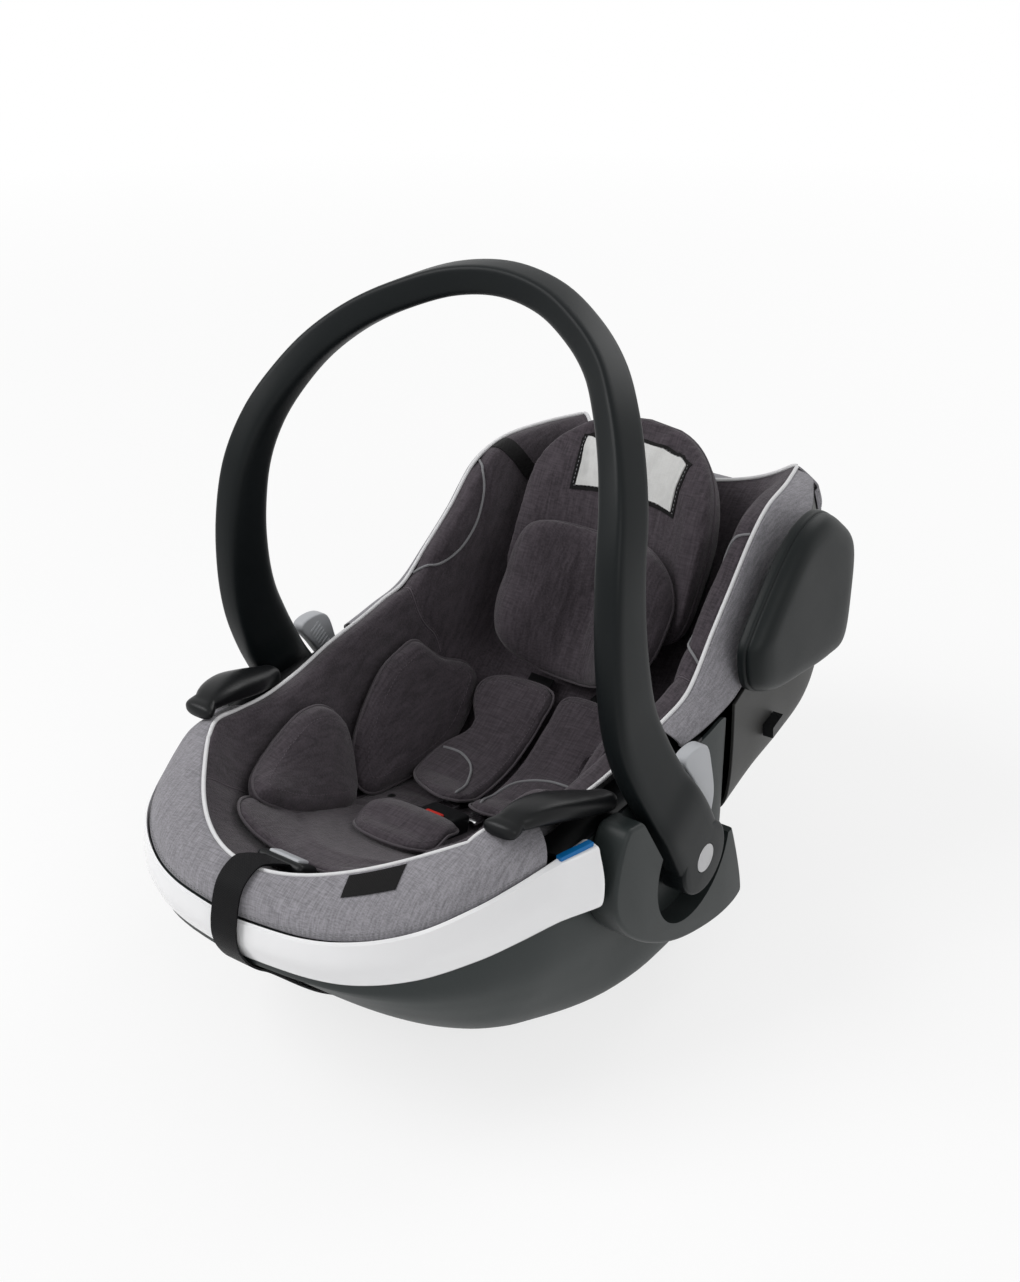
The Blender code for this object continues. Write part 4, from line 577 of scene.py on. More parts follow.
def seat_point(along, across):
    """Point of the bowl's inner face: along 0 (foot) to 1 (head), across -1 to 1."""
    position = along * (len(SEAT_LINE_SHARES) - 1)
    line_y, line_z = spline(SEAT_LINE_SHARES, position)
    rim = body_point(spline(RIM_SIDE_SHARES, position))
    bowl = spline_value(BOWL_SHARES, position)
    side = min(abs(across), 1.0)
    arc = math.sin(side * math.pi / 2)
    width, depth = spline(WALL_SHARES, side * (len(WALL_SHARES) - 1))
    middle = Vector((0.0, reach(line_y), line_z * BODY_HEIGHT))
    point = middle.lerp(rim, blend(arc ** 2, depth, bowl))
    point.x = math.copysign(blend(arc, width, bowl) * rim.x, across)
    return point


def surface_frame(surface, along, across):
    """Point, direction along, direction across and normal of a surface."""
    low, high = max(along - STEP_SHARE, 0.0), min(along + STEP_SHARE, 1.0)
    left, right = max(across - STEP_SHARE, -1.0), min(across + STEP_SHARE, 1.0)
    forward = (surface(high, across) - surface(low, across)).normalized()
    sideways = (surface(along, right) - surface(along, left)).normalized()
    return surface(along, across), forward, sideways, sideways.cross(forward).normalized()


def lifted(surface):
    """The surface with a third value, the height along its normal."""
    def place(along, across, lift):
        point, _, _, normal = surface_frame(surface, along, across)
        return point + normal * lift
    return place


def mirrored_point(point, side):
    """The point itself for the right side, its mirror image for the left."""
    return Vector((point[0] * side, point[1], point[2]))


def sole_height(y):
    """Height of the rocker's underside: flat in the middle, round to both ends."""
    if y < -SOLE_FRONT:
        return (y + SOLE_FRONT) ** 2 / (2 * ROCKER_RADIUS)
    if y > SOLE_REAR:
        return (y - SOLE_REAR) ** 2 / (2 * HEEL_RADIUS)
    return 0.0


def perimeter(rows, position):
    """Point on a closed curve given for its right half; the foot is at zero."""
    last = len(rows) - 1
    position = (position + last) % (2 * last) - last
    point = body_point(spline(rows, abs(position)))
    point.x = math.copysign(point.x, position)
    return point


def hull_point(position, ring):
    """Point of the rocker shell's outer face: ring 0 at the edge, 1 at the waist, then in."""
    if ring == 0:
        return perimeter(SHELL_EDGE_SHARES, position)
    waist = perimeter(SHELL_WAIST_SHARES, position)
    if ring == 1:
        return waist
    foot_plan, hub_plan, drop = HULL_RING_SHARES[ring - 2]
    foot_y, hub_y = reach(HULL_FOOT_SHARE), reach(HULL_HUB_SHARE)
    plan = blend(foot_plan, hub_plan, ease((waist.y - foot_y) / (hub_y - foot_y)))
    centre_y = reach(HULL_CENTRE_SHARE)
    y = blend(centre_y, waist.y, plan)
    return Vector((waist.x * plan, y, blend(waist.z, sole_height(y), drop)))


def dock_bar_places():
    """Centres of the two bars in Y and Z."""
    return [(reach(share), sole_height(reach(share)) + DOCK_BAR_FLOOR)
            for share in DOCK_BAR_Y_SHARES]


def back_point(along, across):
    """Point of the back shell's outer face: along 0 at the hubs to 1 at the head."""
    position = along * (len(BACK_EDGE_SHARES) - 1)
    edge = body_point(spline(BACK_EDGE_SHARES, position))
    line_y, line_z = spline(BACK_LINE_SHARES, position)
    side = min(abs(across), 1.0)
    width, depth = spline(BACK_WALL_SHARES, side * (len(BACK_WALL_SHARES) - 1))
    middle = Vector((0.0, reach(line_y), line_z * BODY_HEIGHT))
    point = edge.lerp(middle, depth)
    point.x = math.copysign(width * edge.x, across)
    return point


def strip_point(inner, outer, away, part, bulge, lift):
    """Point on a bulging strip from an inner to an outer edge."""
    return inner.lerp(outer, part) + away * (bulge * math.sin(math.pi * part) ** BULGE_POWER + lift)


def plan_away(point):
    """Level direction from the middle of the rocker shell to a point."""
    return Vector((point.x, point.y - reach(HULL_CENTRE_SHARE), 0.0)).normalized()


def trim_outward(position):
    """Level direction out of the rocker shell's rim."""
    step = hull_step() / 2
    ahead = perimeter(SHELL_WAIST_SHARES, position + step)
    behind = perimeter(SHELL_WAIST_SHARES, position - step)
    tangent = ahead - behind
    return Vector((tangent.y, -tangent.x, 0.0)).normalized()


def trim_values(position):
    """Edge, waist, outward direction, rise and flare of the trim at a place."""
    away = trim_outward(position)
    share = min(abs(position), TRIM_END_SHARE)
    rise = spline_value(TRIM_TOP_RISES, share)
    flare = spline_value(TRIM_FLARES, share)
    return (perimeter(SHELL_EDGE_SHARES, position), perimeter(SHELL_WAIST_SHARES, position),
            away, rise, flare)


def trim_section(position):
    """Ring of points of the white trim at a place on the perimeter."""
    edge, waist, away, rise, flare = trim_values(position)
    up = Vector((0.0, 0.0, 1.0))
    foot = waist.lerp(edge, TRIM_FOOT_RISE / (edge.z - waist.z))
    near = away * TRIM_SIDE_GAP
    wall = away * (TRIM_SIDE_GAP + TRIM_WALL + flare)
    middle = edge.lerp(foot, 0.5)
    return [edge + near + up * rise * 0.5, edge + wall * TRIM_LIP_SHARE + up * rise, edge + wall,
            middle + wall + away * TRIM_BULGE, foot + wall, foot + near]


def turned(y, z, angle):
    """Direction at an angle from upright, positive to the head end, as Y and Z."""
    return (y * math.cos(angle) + z * math.sin(angle),
            z * math.cos(angle) - y * math.sin(angle))


def fan_arc(radius, spread):
    """Arc of (y, z) points that the arm sweeps, from ahead of it at rest to its far end."""
    lean = HUB_FAN_LEAN_DEGREES - spread
    start = lean - math.degrees(math.asin(HUB_FAN_FRONT / radius))
    points = []
    for step in range(ROUND_STEPS // 2 + 1):
        angle = math.radians(blend(start, HUB_FAN_END_DEGREES + spread, step * 2 / ROUND_STEPS))
        y, z = turned(0.0, radius, angle)
        points.append((y, PIVOT_HEIGHT + z))
    return points


def handle_section(position):
    """Ring of points across the handle; position runs from -1 (left) over 0 to 1."""
    last = len(HANDLE_PATH_SHARES) - 1
    distance = (1 - abs(position)) * last
    step = HANDLE_STEP_SHARE

    def centre(value):
        shares = spline(HANDLE_WHOLE_PATH, value)
        return Vector((shares[0] * HANDLE_SPAN, *arm_place(shares[1:3])))
    depth_share, width_share = spline(HANDLE_WHOLE_PATH, distance)[3:]
    depth = depth_share * HANDLE_HALF_DEPTH * (
        1 + HANDLE_GROWTH * ease((distance - HANDLE_GROWTH_START) / HANDLE_GROWTH_ROWS))
    width = width_share * ARM_WALL / 2
    here = centre(distance)
    tangent = (centre(distance + step) - centre(max(distance - step, 0))).normalized()
    bend = arm_place((0.0, HANDLE_BEND_SHARE))[1]
    side = Vector((here.x, 0.0, max(0.0, here.z - bend))).normalized()
    if distance >= last:
        side = Vector((0.0, 0.0, 1.0))
    side = (side - tangent * side.dot(tangent)).normalized()
    front = tangent.cross(side).normalized()
    sign = 1 if position >= 0 else -1
    ring = []
    for turn in range(HANDLE_ROUND):
        angle = 2 * math.pi * turn / HANDLE_ROUND
        power = 2 / (HANDLE_SQUARE_OUTER if math.cos(angle) > 0 else HANDLE_SQUARE_INNER)
        a, b = squared((math.cos(angle), math.sin(angle)), power)
        ring.append(mirrored_point(here + side * a * width + front * b * depth, sign))
    return ring


def arm_rear_place(shares):
    """Y and Z behind the arm's middle line: shares of its half depth and of the rise."""
    low, high = 0.0, ARM_ROWS
    for _ in range(SEARCH_STEPS):
        middle = (low + high) / 2
        if spline(HANDLE_PATH_SHARES, middle)[2] < shares[1]:
            low = middle
        else:
            high = middle
    y, z = arm_place((spline(HANDLE_PATH_SHARES, low)[1], shares[1]))
    return y + shares[0] * HANDLE_HALF_DEPTH, z


def headrest_place(x, along, rise):
    """Point of the headrest from its x, place along the slide and rise off its back."""
    slide = Vector((0.0, HEADREST_SLOPE, 1.0)).normalized()
    front = Vector((0.0, -slide.z, slide.y))
    foot = body_point(HEADREST_FOOT_SHARES)
    return foot + Vector((x, 0.0, 0.0)) + slide * along + front * rise


def headrest_back(x, along):
    """Rise of the headrest's back, drawn forward beside the bowl and at the crown."""
    side = min(abs(x) / HEADREST_RISE_WIDTH, 1.0)
    lean = max(along - HEADREST_LEAN_START, 0.0) * HEADREST_FORWARD_SHARE
    return HEADREST_SIDE_RISE * side ** HEADREST_RISE_POWER + lean


def headrest_front(x, along):
    """Rise of the headrest cover's front."""
    low = HEADREST_FRONT_LOW + HEADREST_FRONT_SHARE * max(along, 0.0)
    side = min(abs(x) / HEADREST_RISE_WIDTH, 1.0)
    return low + HEADREST_SIDE_RISE * side ** 2


def past_buckle(distance):
    """Place along the bowl at a distance past the buckle's middle, negative to the foot."""
    ahead = seat_point(BUCKLE_ALONG_SHARE + STEP_SHARE, 0.0)
    behind = seat_point(BUCKLE_ALONG_SHARE - STEP_SHARE, 0.0)
    return BUCKLE_ALONG_SHARE + distance * 2 * STEP_SHARE / (ahead - behind).length


def hull_underside(y):
    """Height of the rocker shell's outer face at the middle of the foot end."""
    rings = [hull_point(0.0, ring) for ring in range(1, len(HULL_RING_SHARES) + 2)]
    for outer, inner in zip(rings, rings[1:]):
        if y <= inner.y:
            return blend(outer.z, inner.z, (y - outer.y) / (inner.y - outer.y))
    return 0.0


def facing_out(mesh):
    """Turn every face of a closed mesh outwards."""
    bmesh.ops.recalc_face_normals(mesh, faces=mesh.faces[:])
    if mesh.calc_volume(signed=True) < 0:
        bmesh.ops.reverse_faces(mesh, faces=mesh.faces[:])
    return mesh


def disc(centre, radius, low_x, high_x, steps=ROUND_STEPS):
    """Cylinder along X about a centre given in Y and Z."""
    mesh = bmesh.new()
    turn = Matrix.Rotation(math.pi / 2, 4, "Y")
    move = Matrix.Translation(((low_x + high_x) / 2, centre[0], centre[1]))
    bmesh.ops.create_cone(mesh, cap_ends=True, segments=steps, radius1=radius,
                          radius2=radius, depth=high_x - low_x, matrix=move @ turn)
    return mesh


def block(place, size, centre_lift, shift_along=0.0):
    """Box on a surface frame: size is (across, along, up), lifted to its middle height."""
    point, forward, _, normal = place
    side = forward.cross(normal).normalized()
    axes = Matrix((side, forward, normal)).transposed().to_4x4()
    scale = Matrix.Diagonal((*size, 1.0))
    move = Matrix.Translation(point + normal * centre_lift + forward * shift_along)
    mesh = bmesh.new()
    bmesh.ops.create_cube(mesh, size=1, matrix=move @ axes @ scale)
    return mesh


def soften(mesh, width, segments=2, angle=40):
    """Round the edges of a mesh that turn by more than an angle."""
    sharp = [edge for edge in mesh.edges if edge.calc_face_angle(0) > math.radians(angle)]
    bmesh.ops.bevel(mesh, geom=sharp, offset=width, segments=segments, profile=0.5,
                    affect="EDGES", clamp_overlap=True, material=-1)
    return mesh


def hull_step():
    """Distance along the perimeter between two columns of the rocker shell."""
    return 2 * (len(SHELL_EDGE_SHARES) - 1) / HULL_STEPS


@lru_cache(maxsize=None)
def seat_frame(along, across):
    """Surface frame of the bowl, kept for each place that is asked for again."""
    return surface_frame(seat_point, along, across)


def seat_lift(along, across, lift):
    """Point at a height over the bowl's inner face."""
    point, _, _, normal = seat_frame(along, across)
    return point + normal * lift


def ripple(point, scale, seed=0.0):
    """Smooth noise from -1 to 1 at a place."""
    return noise.noise(Vector(point) * scale + Vector((seed, seed * 0.7, -seed)))


def map_weave(mesh, spots, size):
    """Give a mesh a map in metres from the grid places of its corners."""
    layer = mesh.loops.layers.uv.new("weave")
    for face in mesh.faces:
        for corner in face.loops:
            u, v = spots[corner.vert]
            corner[layer].uv = (u * size[0] / 2, v * size[1] / 2)


def sheet(columns, rows, place, near, far, size=(1.0, 1.0)):
    """Closed layer between two lifts of a placed sheet; u and v run from -1 to 1."""
    mesh = bmesh.new()
    bmesh.ops.create_grid(mesh, x_segments=columns, y_segments=rows, size=1)
    base = set(mesh.verts)
    bmesh.ops.extrude_face_region(mesh, geom=mesh.faces[:], use_keep_orig=True)
    spots = {vert: (vert.co.x, vert.co.y) for vert in mesh.verts}
    map_weave(mesh, spots, size)
    for vert in mesh.verts:
        u, v = spots[vert]
        vert.co = place(u, v, near if vert in base else far)
    return facing_out(mesh)


def rolled(columns, rows, place, closed=False, size=(1.0, 1.0)):
    """Skin rolled round a path: u goes round it and v along it, both from -1 to 1."""
    mesh = bmesh.new()
    bmesh.ops.create_grid(mesh, x_segments=columns, y_segments=rows, size=1)
    spots = {vert: (vert.co.x, vert.co.y) for vert in mesh.verts}
    map_weave(mesh, spots, size)
    for vert in mesh.verts:
        u, v = spots[vert]
        vert.co = place(-1.0 if u > 1 - FINE_SHARE else u,
                        -1.0 if closed and v > 1 - FINE_SHARE else v)
    bmesh.ops.remove_doubles(mesh, verts=mesh.verts[:], dist=MERGE_DISTANCE)
    ends = [edge for edge in mesh.edges if edge.is_boundary]
    if ends:
        bmesh.ops.holes_fill(mesh, edges=ends, sides=0)
    return facing_out(mesh)


def tube_into(mesh, points, normals, radius, sides=8, closed=False):
    """Round cord along a path, added to a mesh; normals give its sideways direction."""
    count = len(points)
    places = []
    for index in range(count):
        after = points[(index + 1) % count if closed else min(index + 1, count - 1)]
        before = points[index - 1 if closed else max(index - 1, 0)]
        tangent = (after - before).normalized()
        side = tangent.cross(normals[index]).normalized()
        places.append((points[index], side, side.cross(tangent).normalized()))
    rows = count if closed else count - 1

    def place(u, v):
        point, side, up = places[round((v + 1) / 2 * rows) % count]
        angle = math.pi * u
        thick = radius * (ease(min(v + 1, 1 - v) * rows / 2 + 0.3) if not closed else 1.0)
        return point + side * math.cos(angle) * thick + up * math.sin(angle) * thick
    part = rolled(sides, rows, place, closed,
                  (2 * math.pi * radius, sum((b - a).length for a, b in zip(points, points[1:]))))
    join_into(mesh, part)


def mesh_data(name, mesh):
    """Finished data of a mesh that was being built."""
    data = bpy.data.meshes.new(name)
    mesh.to_mesh(data)
    mesh.free()
    return data


def placed(name, data):
    """New object in the scene for its data."""
    made = bpy.data.objects.new(name, data)
    bpy.context.scene.collection.objects.link(made)
    return made


def join_into(mesh, part):
    """Add one mesh to another."""
    data = mesh_data("part", part)
    mesh.from_mesh(data)
    bpy.data.meshes.remove(data)


def sew(mesh, points, normals):
    """Row of sewn stitches along a path, added to a mesh."""
    look = bpy.context.scene.carrier_sizes
    length = look.stitch_length
    travelled = [0.0]
    for a, b in zip(points, points[1:]):
        travelled.append(travelled[-1] + (b - a).length)
    count = int(travelled[-1] / (length + look.stitch_gap))
    index = 0
    for stitch in range(count):
        distance = (stitch + 0.5) * travelled[-1] / count
        while index < len(points) - 2 and travelled[index + 1] < distance:
            index += 1
        part = (distance - travelled[index]) / max(travelled[index + 1] - travelled[index],
                                                   MERGE_DISTANCE)
        centre = points[index].lerp(points[index + 1], part)
        tangent = (points[index + 1] - points[index]).normalized()
        normal = normals[index].normalized()
        side = tangent.cross(normal).normalized()
        turn = Matrix((tangent, side, side.cross(tangent))).transposed().to_4x4()
        size = Matrix.Diagonal((length / 2, STITCH_RADIUS, STITCH_RADIUS, 1.0))
        bmesh.ops.create_uvsphere(mesh, u_segments=6, v_segments=4, radius=1,
                                  matrix=Matrix.Translation(centre) @ turn @ size)


def piece(name, mesh, material, body="seat", covers=(), angle=40):
    """Turn a mesh into a named piece that rides on a body and stands for CAD nodes."""
    data = mesh_data(name, mesh)
    data.shade_smooth()
    data.set_sharp_from_angle(angle=math.radians(angle))
    made = placed(name, data)
    data.materials.append(finish(material))
    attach(made, body)
    if covers:
        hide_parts(*covers)
    return made


def sewn_piece(name, rows, material, body="seat"):
    """Named piece of stitches along rows, each given by its points and normals."""
    mesh = bmesh.new()
    for points, normals in rows:
        sew(mesh, points, normals)
    return piece(name, mesh, material, body)


def cord_piece(name, rows, radius, material, body="seat", sides=8, closed=False):
    """Named piece of round cords along rows, each given by its points and normals."""
    mesh = bmesh.new()
    for points, normals in rows:
        tube_into(mesh, points, normals, radius, sides, closed)
    return piece(name, mesh, material, body)


def rounded(made, width, segments=3, angle=40):
    """Round the sharp edges of a finished piece with a live bevel."""
    bevel = made.modifiers.new("rounding", "BEVEL")
    bevel.width = width
    bevel.segments = segments
    bevel.limit_method = "ANGLE"
    bevel.angle_limit = math.radians(angle)
    bevel.harden_normals = True
    return made


def smoothed(made, levels=1):
    """Give a piece a live subdivision surface, the same in view and render."""
    surface = made.modifiers.new("smoothing", "SUBSURF")
    surface.levels = levels
    surface.render_levels = levels
    return made


def cut(made, tools):
    """Cut tool meshes out of a piece, or join them to it, and keep the result."""
    helpers = []
    for operation, mesh in tools:
        helper = placed("tool", mesh_data("tool", mesh))
        helpers.append(helper)
        modifier = made.modifiers.new("cut", "BOOLEAN")
        modifier.operation = operation
        modifier.object = helper
        modifier.solver = "EXACT"
    keep_shape(made)
    for helper in helpers:
        bpy.data.objects.remove(helper)
    made.data.shade_smooth()
    made.data.set_sharp_from_angle(angle=math.radians(32))
    return made


def keep_shape(made):
    """Replace a piece's mesh by what its modifiers make of it, and drop them."""
    view = bpy.context.evaluated_depsgraph_get()
    view.update()
    data = bpy.data.meshes.new_from_object(made.evaluated_get(view))
    made.modifiers.clear()
    made.data = data


def side_mesh(mesh, side):
    """The mesh itself for the right side, its mirror image across X for the left."""
    if side < 0:
        bmesh.ops.scale(mesh, vec=(-1, 1, 1), verts=mesh.verts[:])
        bmesh.ops.reverse_faces(mesh, faces=mesh.faces[:])
    return mesh


def smooth_outline(outline, steps):
    """Closed smooth outline through (y, z) points."""
    return [closed_spline(outline, step / steps) for step in range(steps)]


def point_tree(points):
    """Search tree over points."""
    tree = kdtree.KDTree(len(points))
    for index, point in enumerate(points):
        tree.insert(point, index)
    tree.balance()
    return tree


def puff(made, pins):
    """Swell a closed pad like a stuffed cushion, held at the points where it is sewn."""
    look = bpy.context.scene.carrier_sizes
    remesh = made.modifiers.new("remesh", "REMESH")
    remesh.mode = "VOXEL"
    remesh.voxel_size = VOXEL
    keep_shape(made)
    tree = point_tree(pins)
    start = [vert.co.copy() for vert in made.data.vertices]
    held = made.vertex_groups.new(name="held")
    for index, point in enumerate(start):
        distance = tree.find(point)[2]
        if distance < PIN_REACH:
            held.add([index], 1.0 - 0.5 * distance / PIN_REACH, "REPLACE")
    cloth = made.modifiers.new("cloth", "CLOTH")
    settings = cloth.settings
    settings.quality = CLOTH_QUALITY
    settings.use_pressure = True
    settings.uniform_pressure_force = look.swell
    settings.tension_stiffness = CLOTH_STIFFNESS
    settings.compression_stiffness = CLOTH_STIFFNESS
    settings.bending_stiffness = CLOTH_BENDING
    settings.effector_weights.gravity = 0
    settings.vertex_group_mass = "held"
    cloth.collision_settings.use_collision = False
    scene = bpy.context.scene
    for step in range(1, SIM_FRAMES + 1):
        scene.frame_set(step)
    keep_shape(made)
    scene.frame_set(1)
    for vert, before in zip(made.data.vertices, start):
        move = vert.co - before
        if move.length > look.swell_cap:
            vert.co = before + move.normalized() * look.swell_cap
    made.vertex_groups.clear()
    made.data.shade_smooth()
    return smoothed(made)


def node(tree, kind, values=None, **settings):
    """New shader node with its settings and the values of its sockets."""
    made = tree.nodes.new(kind)
    for name, value in settings.items():
        setattr(made, name, value)
    for name, value in (values or {}).items():
        made.inputs[name].default_value = value
    return made


def calculate(tree, operation, first, second):
    """Math node over a socket and a socket or number."""
    made = node(tree, "ShaderNodeMath", operation=operation)
    for index, value in enumerate((first, second)):
        if isinstance(value, (int, float)):
            made.inputs[index].default_value = value
        else:
            tree.links.new(value, made.inputs[index])
    return made.outputs[0]


def fitted(tree, value, low, high, to_low=0.0, to_high=1.0):
    """Map a value from one range to another, held at its ends."""
    made = node(tree, "ShaderNodeMapRange", {"From Min": low, "From Max": high,
                                             "To Min": to_low, "To Max": to_high})
    tree.links.new(value, made.inputs["Value"])
    return made.outputs["Result"]


def textured(tree, kind, source, mapping, values, **settings):
    """Outputs of a texture on the object's coordinates or the piece's own map."""
    coordinates = node(tree, "ShaderNodeTexCoord")
    moved = node(tree, "ShaderNodeMapping", mapping)
    texture = node(tree, kind, values, **settings)
    tree.links.new(coordinates.outputs[source], moved.inputs["Vector"])
    tree.links.new(moved.outputs["Vector"], texture.inputs["Vector"])
    return texture.outputs


def object_noise(tree, stretch, detail=2.0):
    """Noise on the object's own coordinates, stretched by a scale along each axis."""
    return textured(tree, "ShaderNodeTexNoise", "Object", {"Scale": stretch},
                    {"Scale": 1.0, "Detail": detail})["Fac"]


def weave_wave(tree, scale, turn):
    """Fine diagonal wave on the piece's own map in metres."""
    return textured(tree, "ShaderNodeTexWave", "UV", {"Rotation": (0.0, 0.0, turn)},
                    {"Scale": scale, "Distortion": 0.0})["Fac"]


def toned(tree, share, low, high):
    """Colour between two tones by a share."""
    made = node(tree, "ShaderNodeMix", data_type="RGBA")
    made.inputs[6].default_value = (*low, 1.0)
    made.inputs[7].default_value = (*high, 1.0)
    tree.links.new(share, made.inputs[0])
    return made.outputs[2]


def raised(tree, shader, height, strength, distance):
    """Bump from a height, into the shader's normal."""
    made = node(tree, "ShaderNodeBump", {"Strength": strength, "Distance": distance})
    tree.links.new(height, made.inputs["Height"])
    tree.links.new(made.outputs["Normal"], shader.inputs["Normal"])


def new_finish(name, sockets):
    """Empty material with the plain values of its shader's sockets."""
    material = bpy.data.materials.new(name)
    material.use_nodes = True
    shader = material.node_tree.nodes["Principled BSDF"]
    for socket, value in sockets.items():
        shader.inputs[socket].default_value = value
    return material, material.node_tree, shader


def scaled(colour, factor):
    """Colour made lighter or darker."""
    return tuple(min(value * factor, 1.0) for value in colour[:3])


def tint(tree, shader, share, colour, low, high):
    """Base colour between two shades of a colour."""
    tone = toned(tree, share, scaled(colour, low), scaled(colour, high))
    tree.links.new(tone, shader.inputs["Base Color"])


def cloth_finish(name, colour, contrast, bump=0.45, sheen=0.15, streak=620.0):
    """Linen weave: threads both ways that vary in tone, with a soft sheen."""
    material, tree, shader = new_finish(name, {
        "Roughness": 0.93, "Sheen Weight": sheen, "Sheen Roughness": 0.45,
        "Specular IOR Level": 0.25})
    slow = streak / 11
    weft = object_noise(tree, (slow, streak, streak))
    warp = object_noise(tree, (streak, slow, slow))
    fuzz = object_noise(tree, (2400.0, 2400.0, 2400.0), 1.0)
    patchy = object_noise(tree, (9.0, 9.0, 9.0), 1.0)
    both = calculate(tree, "ADD", weft, warp)
    tone = fitted(tree, calculate(tree, "ADD", both, calculate(tree, "MULTIPLY", patchy, 0.25)),
                  0.86, 1.40)
    tint(tree, shader, tone, colour, 1 - contrast, 1 + contrast)
    raised(tree, shader, calculate(tree, "ADD", both, fuzz), bump, 0.0007)
    return material


def plastic_finish(name, colour, roughness, grain=0.10, grain_scale=1500.0, coat=0.0,
                   wear=0.06, gloss=0.28):
    """Moulded plastic: fine grain, slight changes of tone and gloss, paler edges."""
    material, tree, shader = new_finish(name, {"Coat Weight": coat, "Coat Roughness": 0.12,
                                               "Specular IOR Level": gloss})
    patchy = object_noise(tree, (14.0, 14.0, 14.0), 3.0)
    fine = object_noise(tree, (grain_scale, grain_scale, grain_scale), 1.0)
    edge = fitted(tree, node(tree, "ShaderNodeNewGeometry").outputs["Pointiness"], 0.50, 0.58)
    tone = calculate(tree, "ADD", fitted(tree, patchy, 0.3, 0.7, 0.0, 0.5),
                     calculate(tree, "MULTIPLY", edge, 0.5))
    tint(tree, shader, tone, colour, 1 - wear, 1 + 3 * wear)
    tree.links.new(fitted(tree, calculate(tree, "ADD", patchy, fine), 0.6, 1.4,
                          roughness * 0.88, roughness * 1.12), shader.inputs["Roughness"])
    if grain:
        raised(tree, shader, fine, grain, 0.0004)
    return material


def webbing_finish(name, colour, contrast=0.3):
    """Woven belt: herringbone on the piece's own map."""
    material, tree, shader = new_finish(name, {
        "Roughness": 0.5, "Specular IOR Level": 0.10})
    rise, fall = (weave_wave(tree, 240.0, math.radians(turn)) for turn in (45, -45))
    both = calculate(tree, "MAXIMUM", rise, fall)
    tint(tree, shader, both, colour, 1 - contrast, 1 + contrast)
    raised(tree, shader, both, 0.5, 0.0005)
    return material


def cord_finish(name, colour, roughness=0.7):
    """Covered cord: threads that twist round it."""
    material, tree, shader = new_finish(name, {
        "Roughness": roughness, "Sheen Weight": 0.2, "Sheen Roughness": 0.4})
    twist = weave_wave(tree, 420.0, math.radians(38))
    worn = object_noise(tree, (160.0, 160.0, 160.0))
    tone = calculate(tree, "MULTIPLY", calculate(tree, "ADD", twist, worn), 0.5)
    tint(tree, shader, tone, colour, 0.84, 1.12)
    raised(tree, shader, twist, 0.35, 0.0005)
    return material


def metal_finish(name, colour, roughness):
    """Brushed metal: fine lines along X, with a change of gloss."""
    material, tree, shader = new_finish(name, {"Metallic": 1.0})
    lines = object_noise(tree, (40.0, 2600.0, 2600.0), 3.0)
    tint(tree, shader, lines, colour, 0.86, 1.1)
    tree.links.new(fitted(tree, lines, 0.3, 0.7, roughness * 0.8, roughness * 1.25),
                   shader.inputs["Roughness"])
    raised(tree, shader, lines, 0.12, 0.0002)
    return material


def foam_finish(name, colour):
    """Moulded foam: small beads pressed together, with painted shade that darkens the grooves
    between them.
    """
    material, tree, shader = new_finish(name, {"Roughness": 0.85})
    beads = textured(tree, "ShaderNodeTexVoronoi", "Object", {}, {"Scale": 330.0})
    depth = fitted(tree, beads["Distance"], 0.0, 0.9)
    # painted shade: the colour darkens from each bead's middle towards the grooves between the
    # beads
    tint(tree, shader, depth, colour, 1.1, 0.75)
    raised(tree, shader, calculate(tree, "SUBTRACT", 1.0, depth), 0.4, 0.001)
    return material


def cap_finish(name, colour):
    """Bare silver cap: fine rings turned about the pivot's axis."""
    material, tree, shader = new_finish(name, {"Metallic": 0.55, "Roughness": 0.32})
    rings = textured(tree, "ShaderNodeTexWave", "Object",
                     {"Location": (0.0, 0.0, -PIVOT_HEIGHT)},
                     {"Scale": 700.0, "Distortion": 0.0}, wave_type="RINGS",
                     rings_direction="X")["Fac"]
    tint(tree, shader, rings, colour, 0.9, 1.08)
    raised(tree, shader, rings, 0.15, 0.0002)
    return material


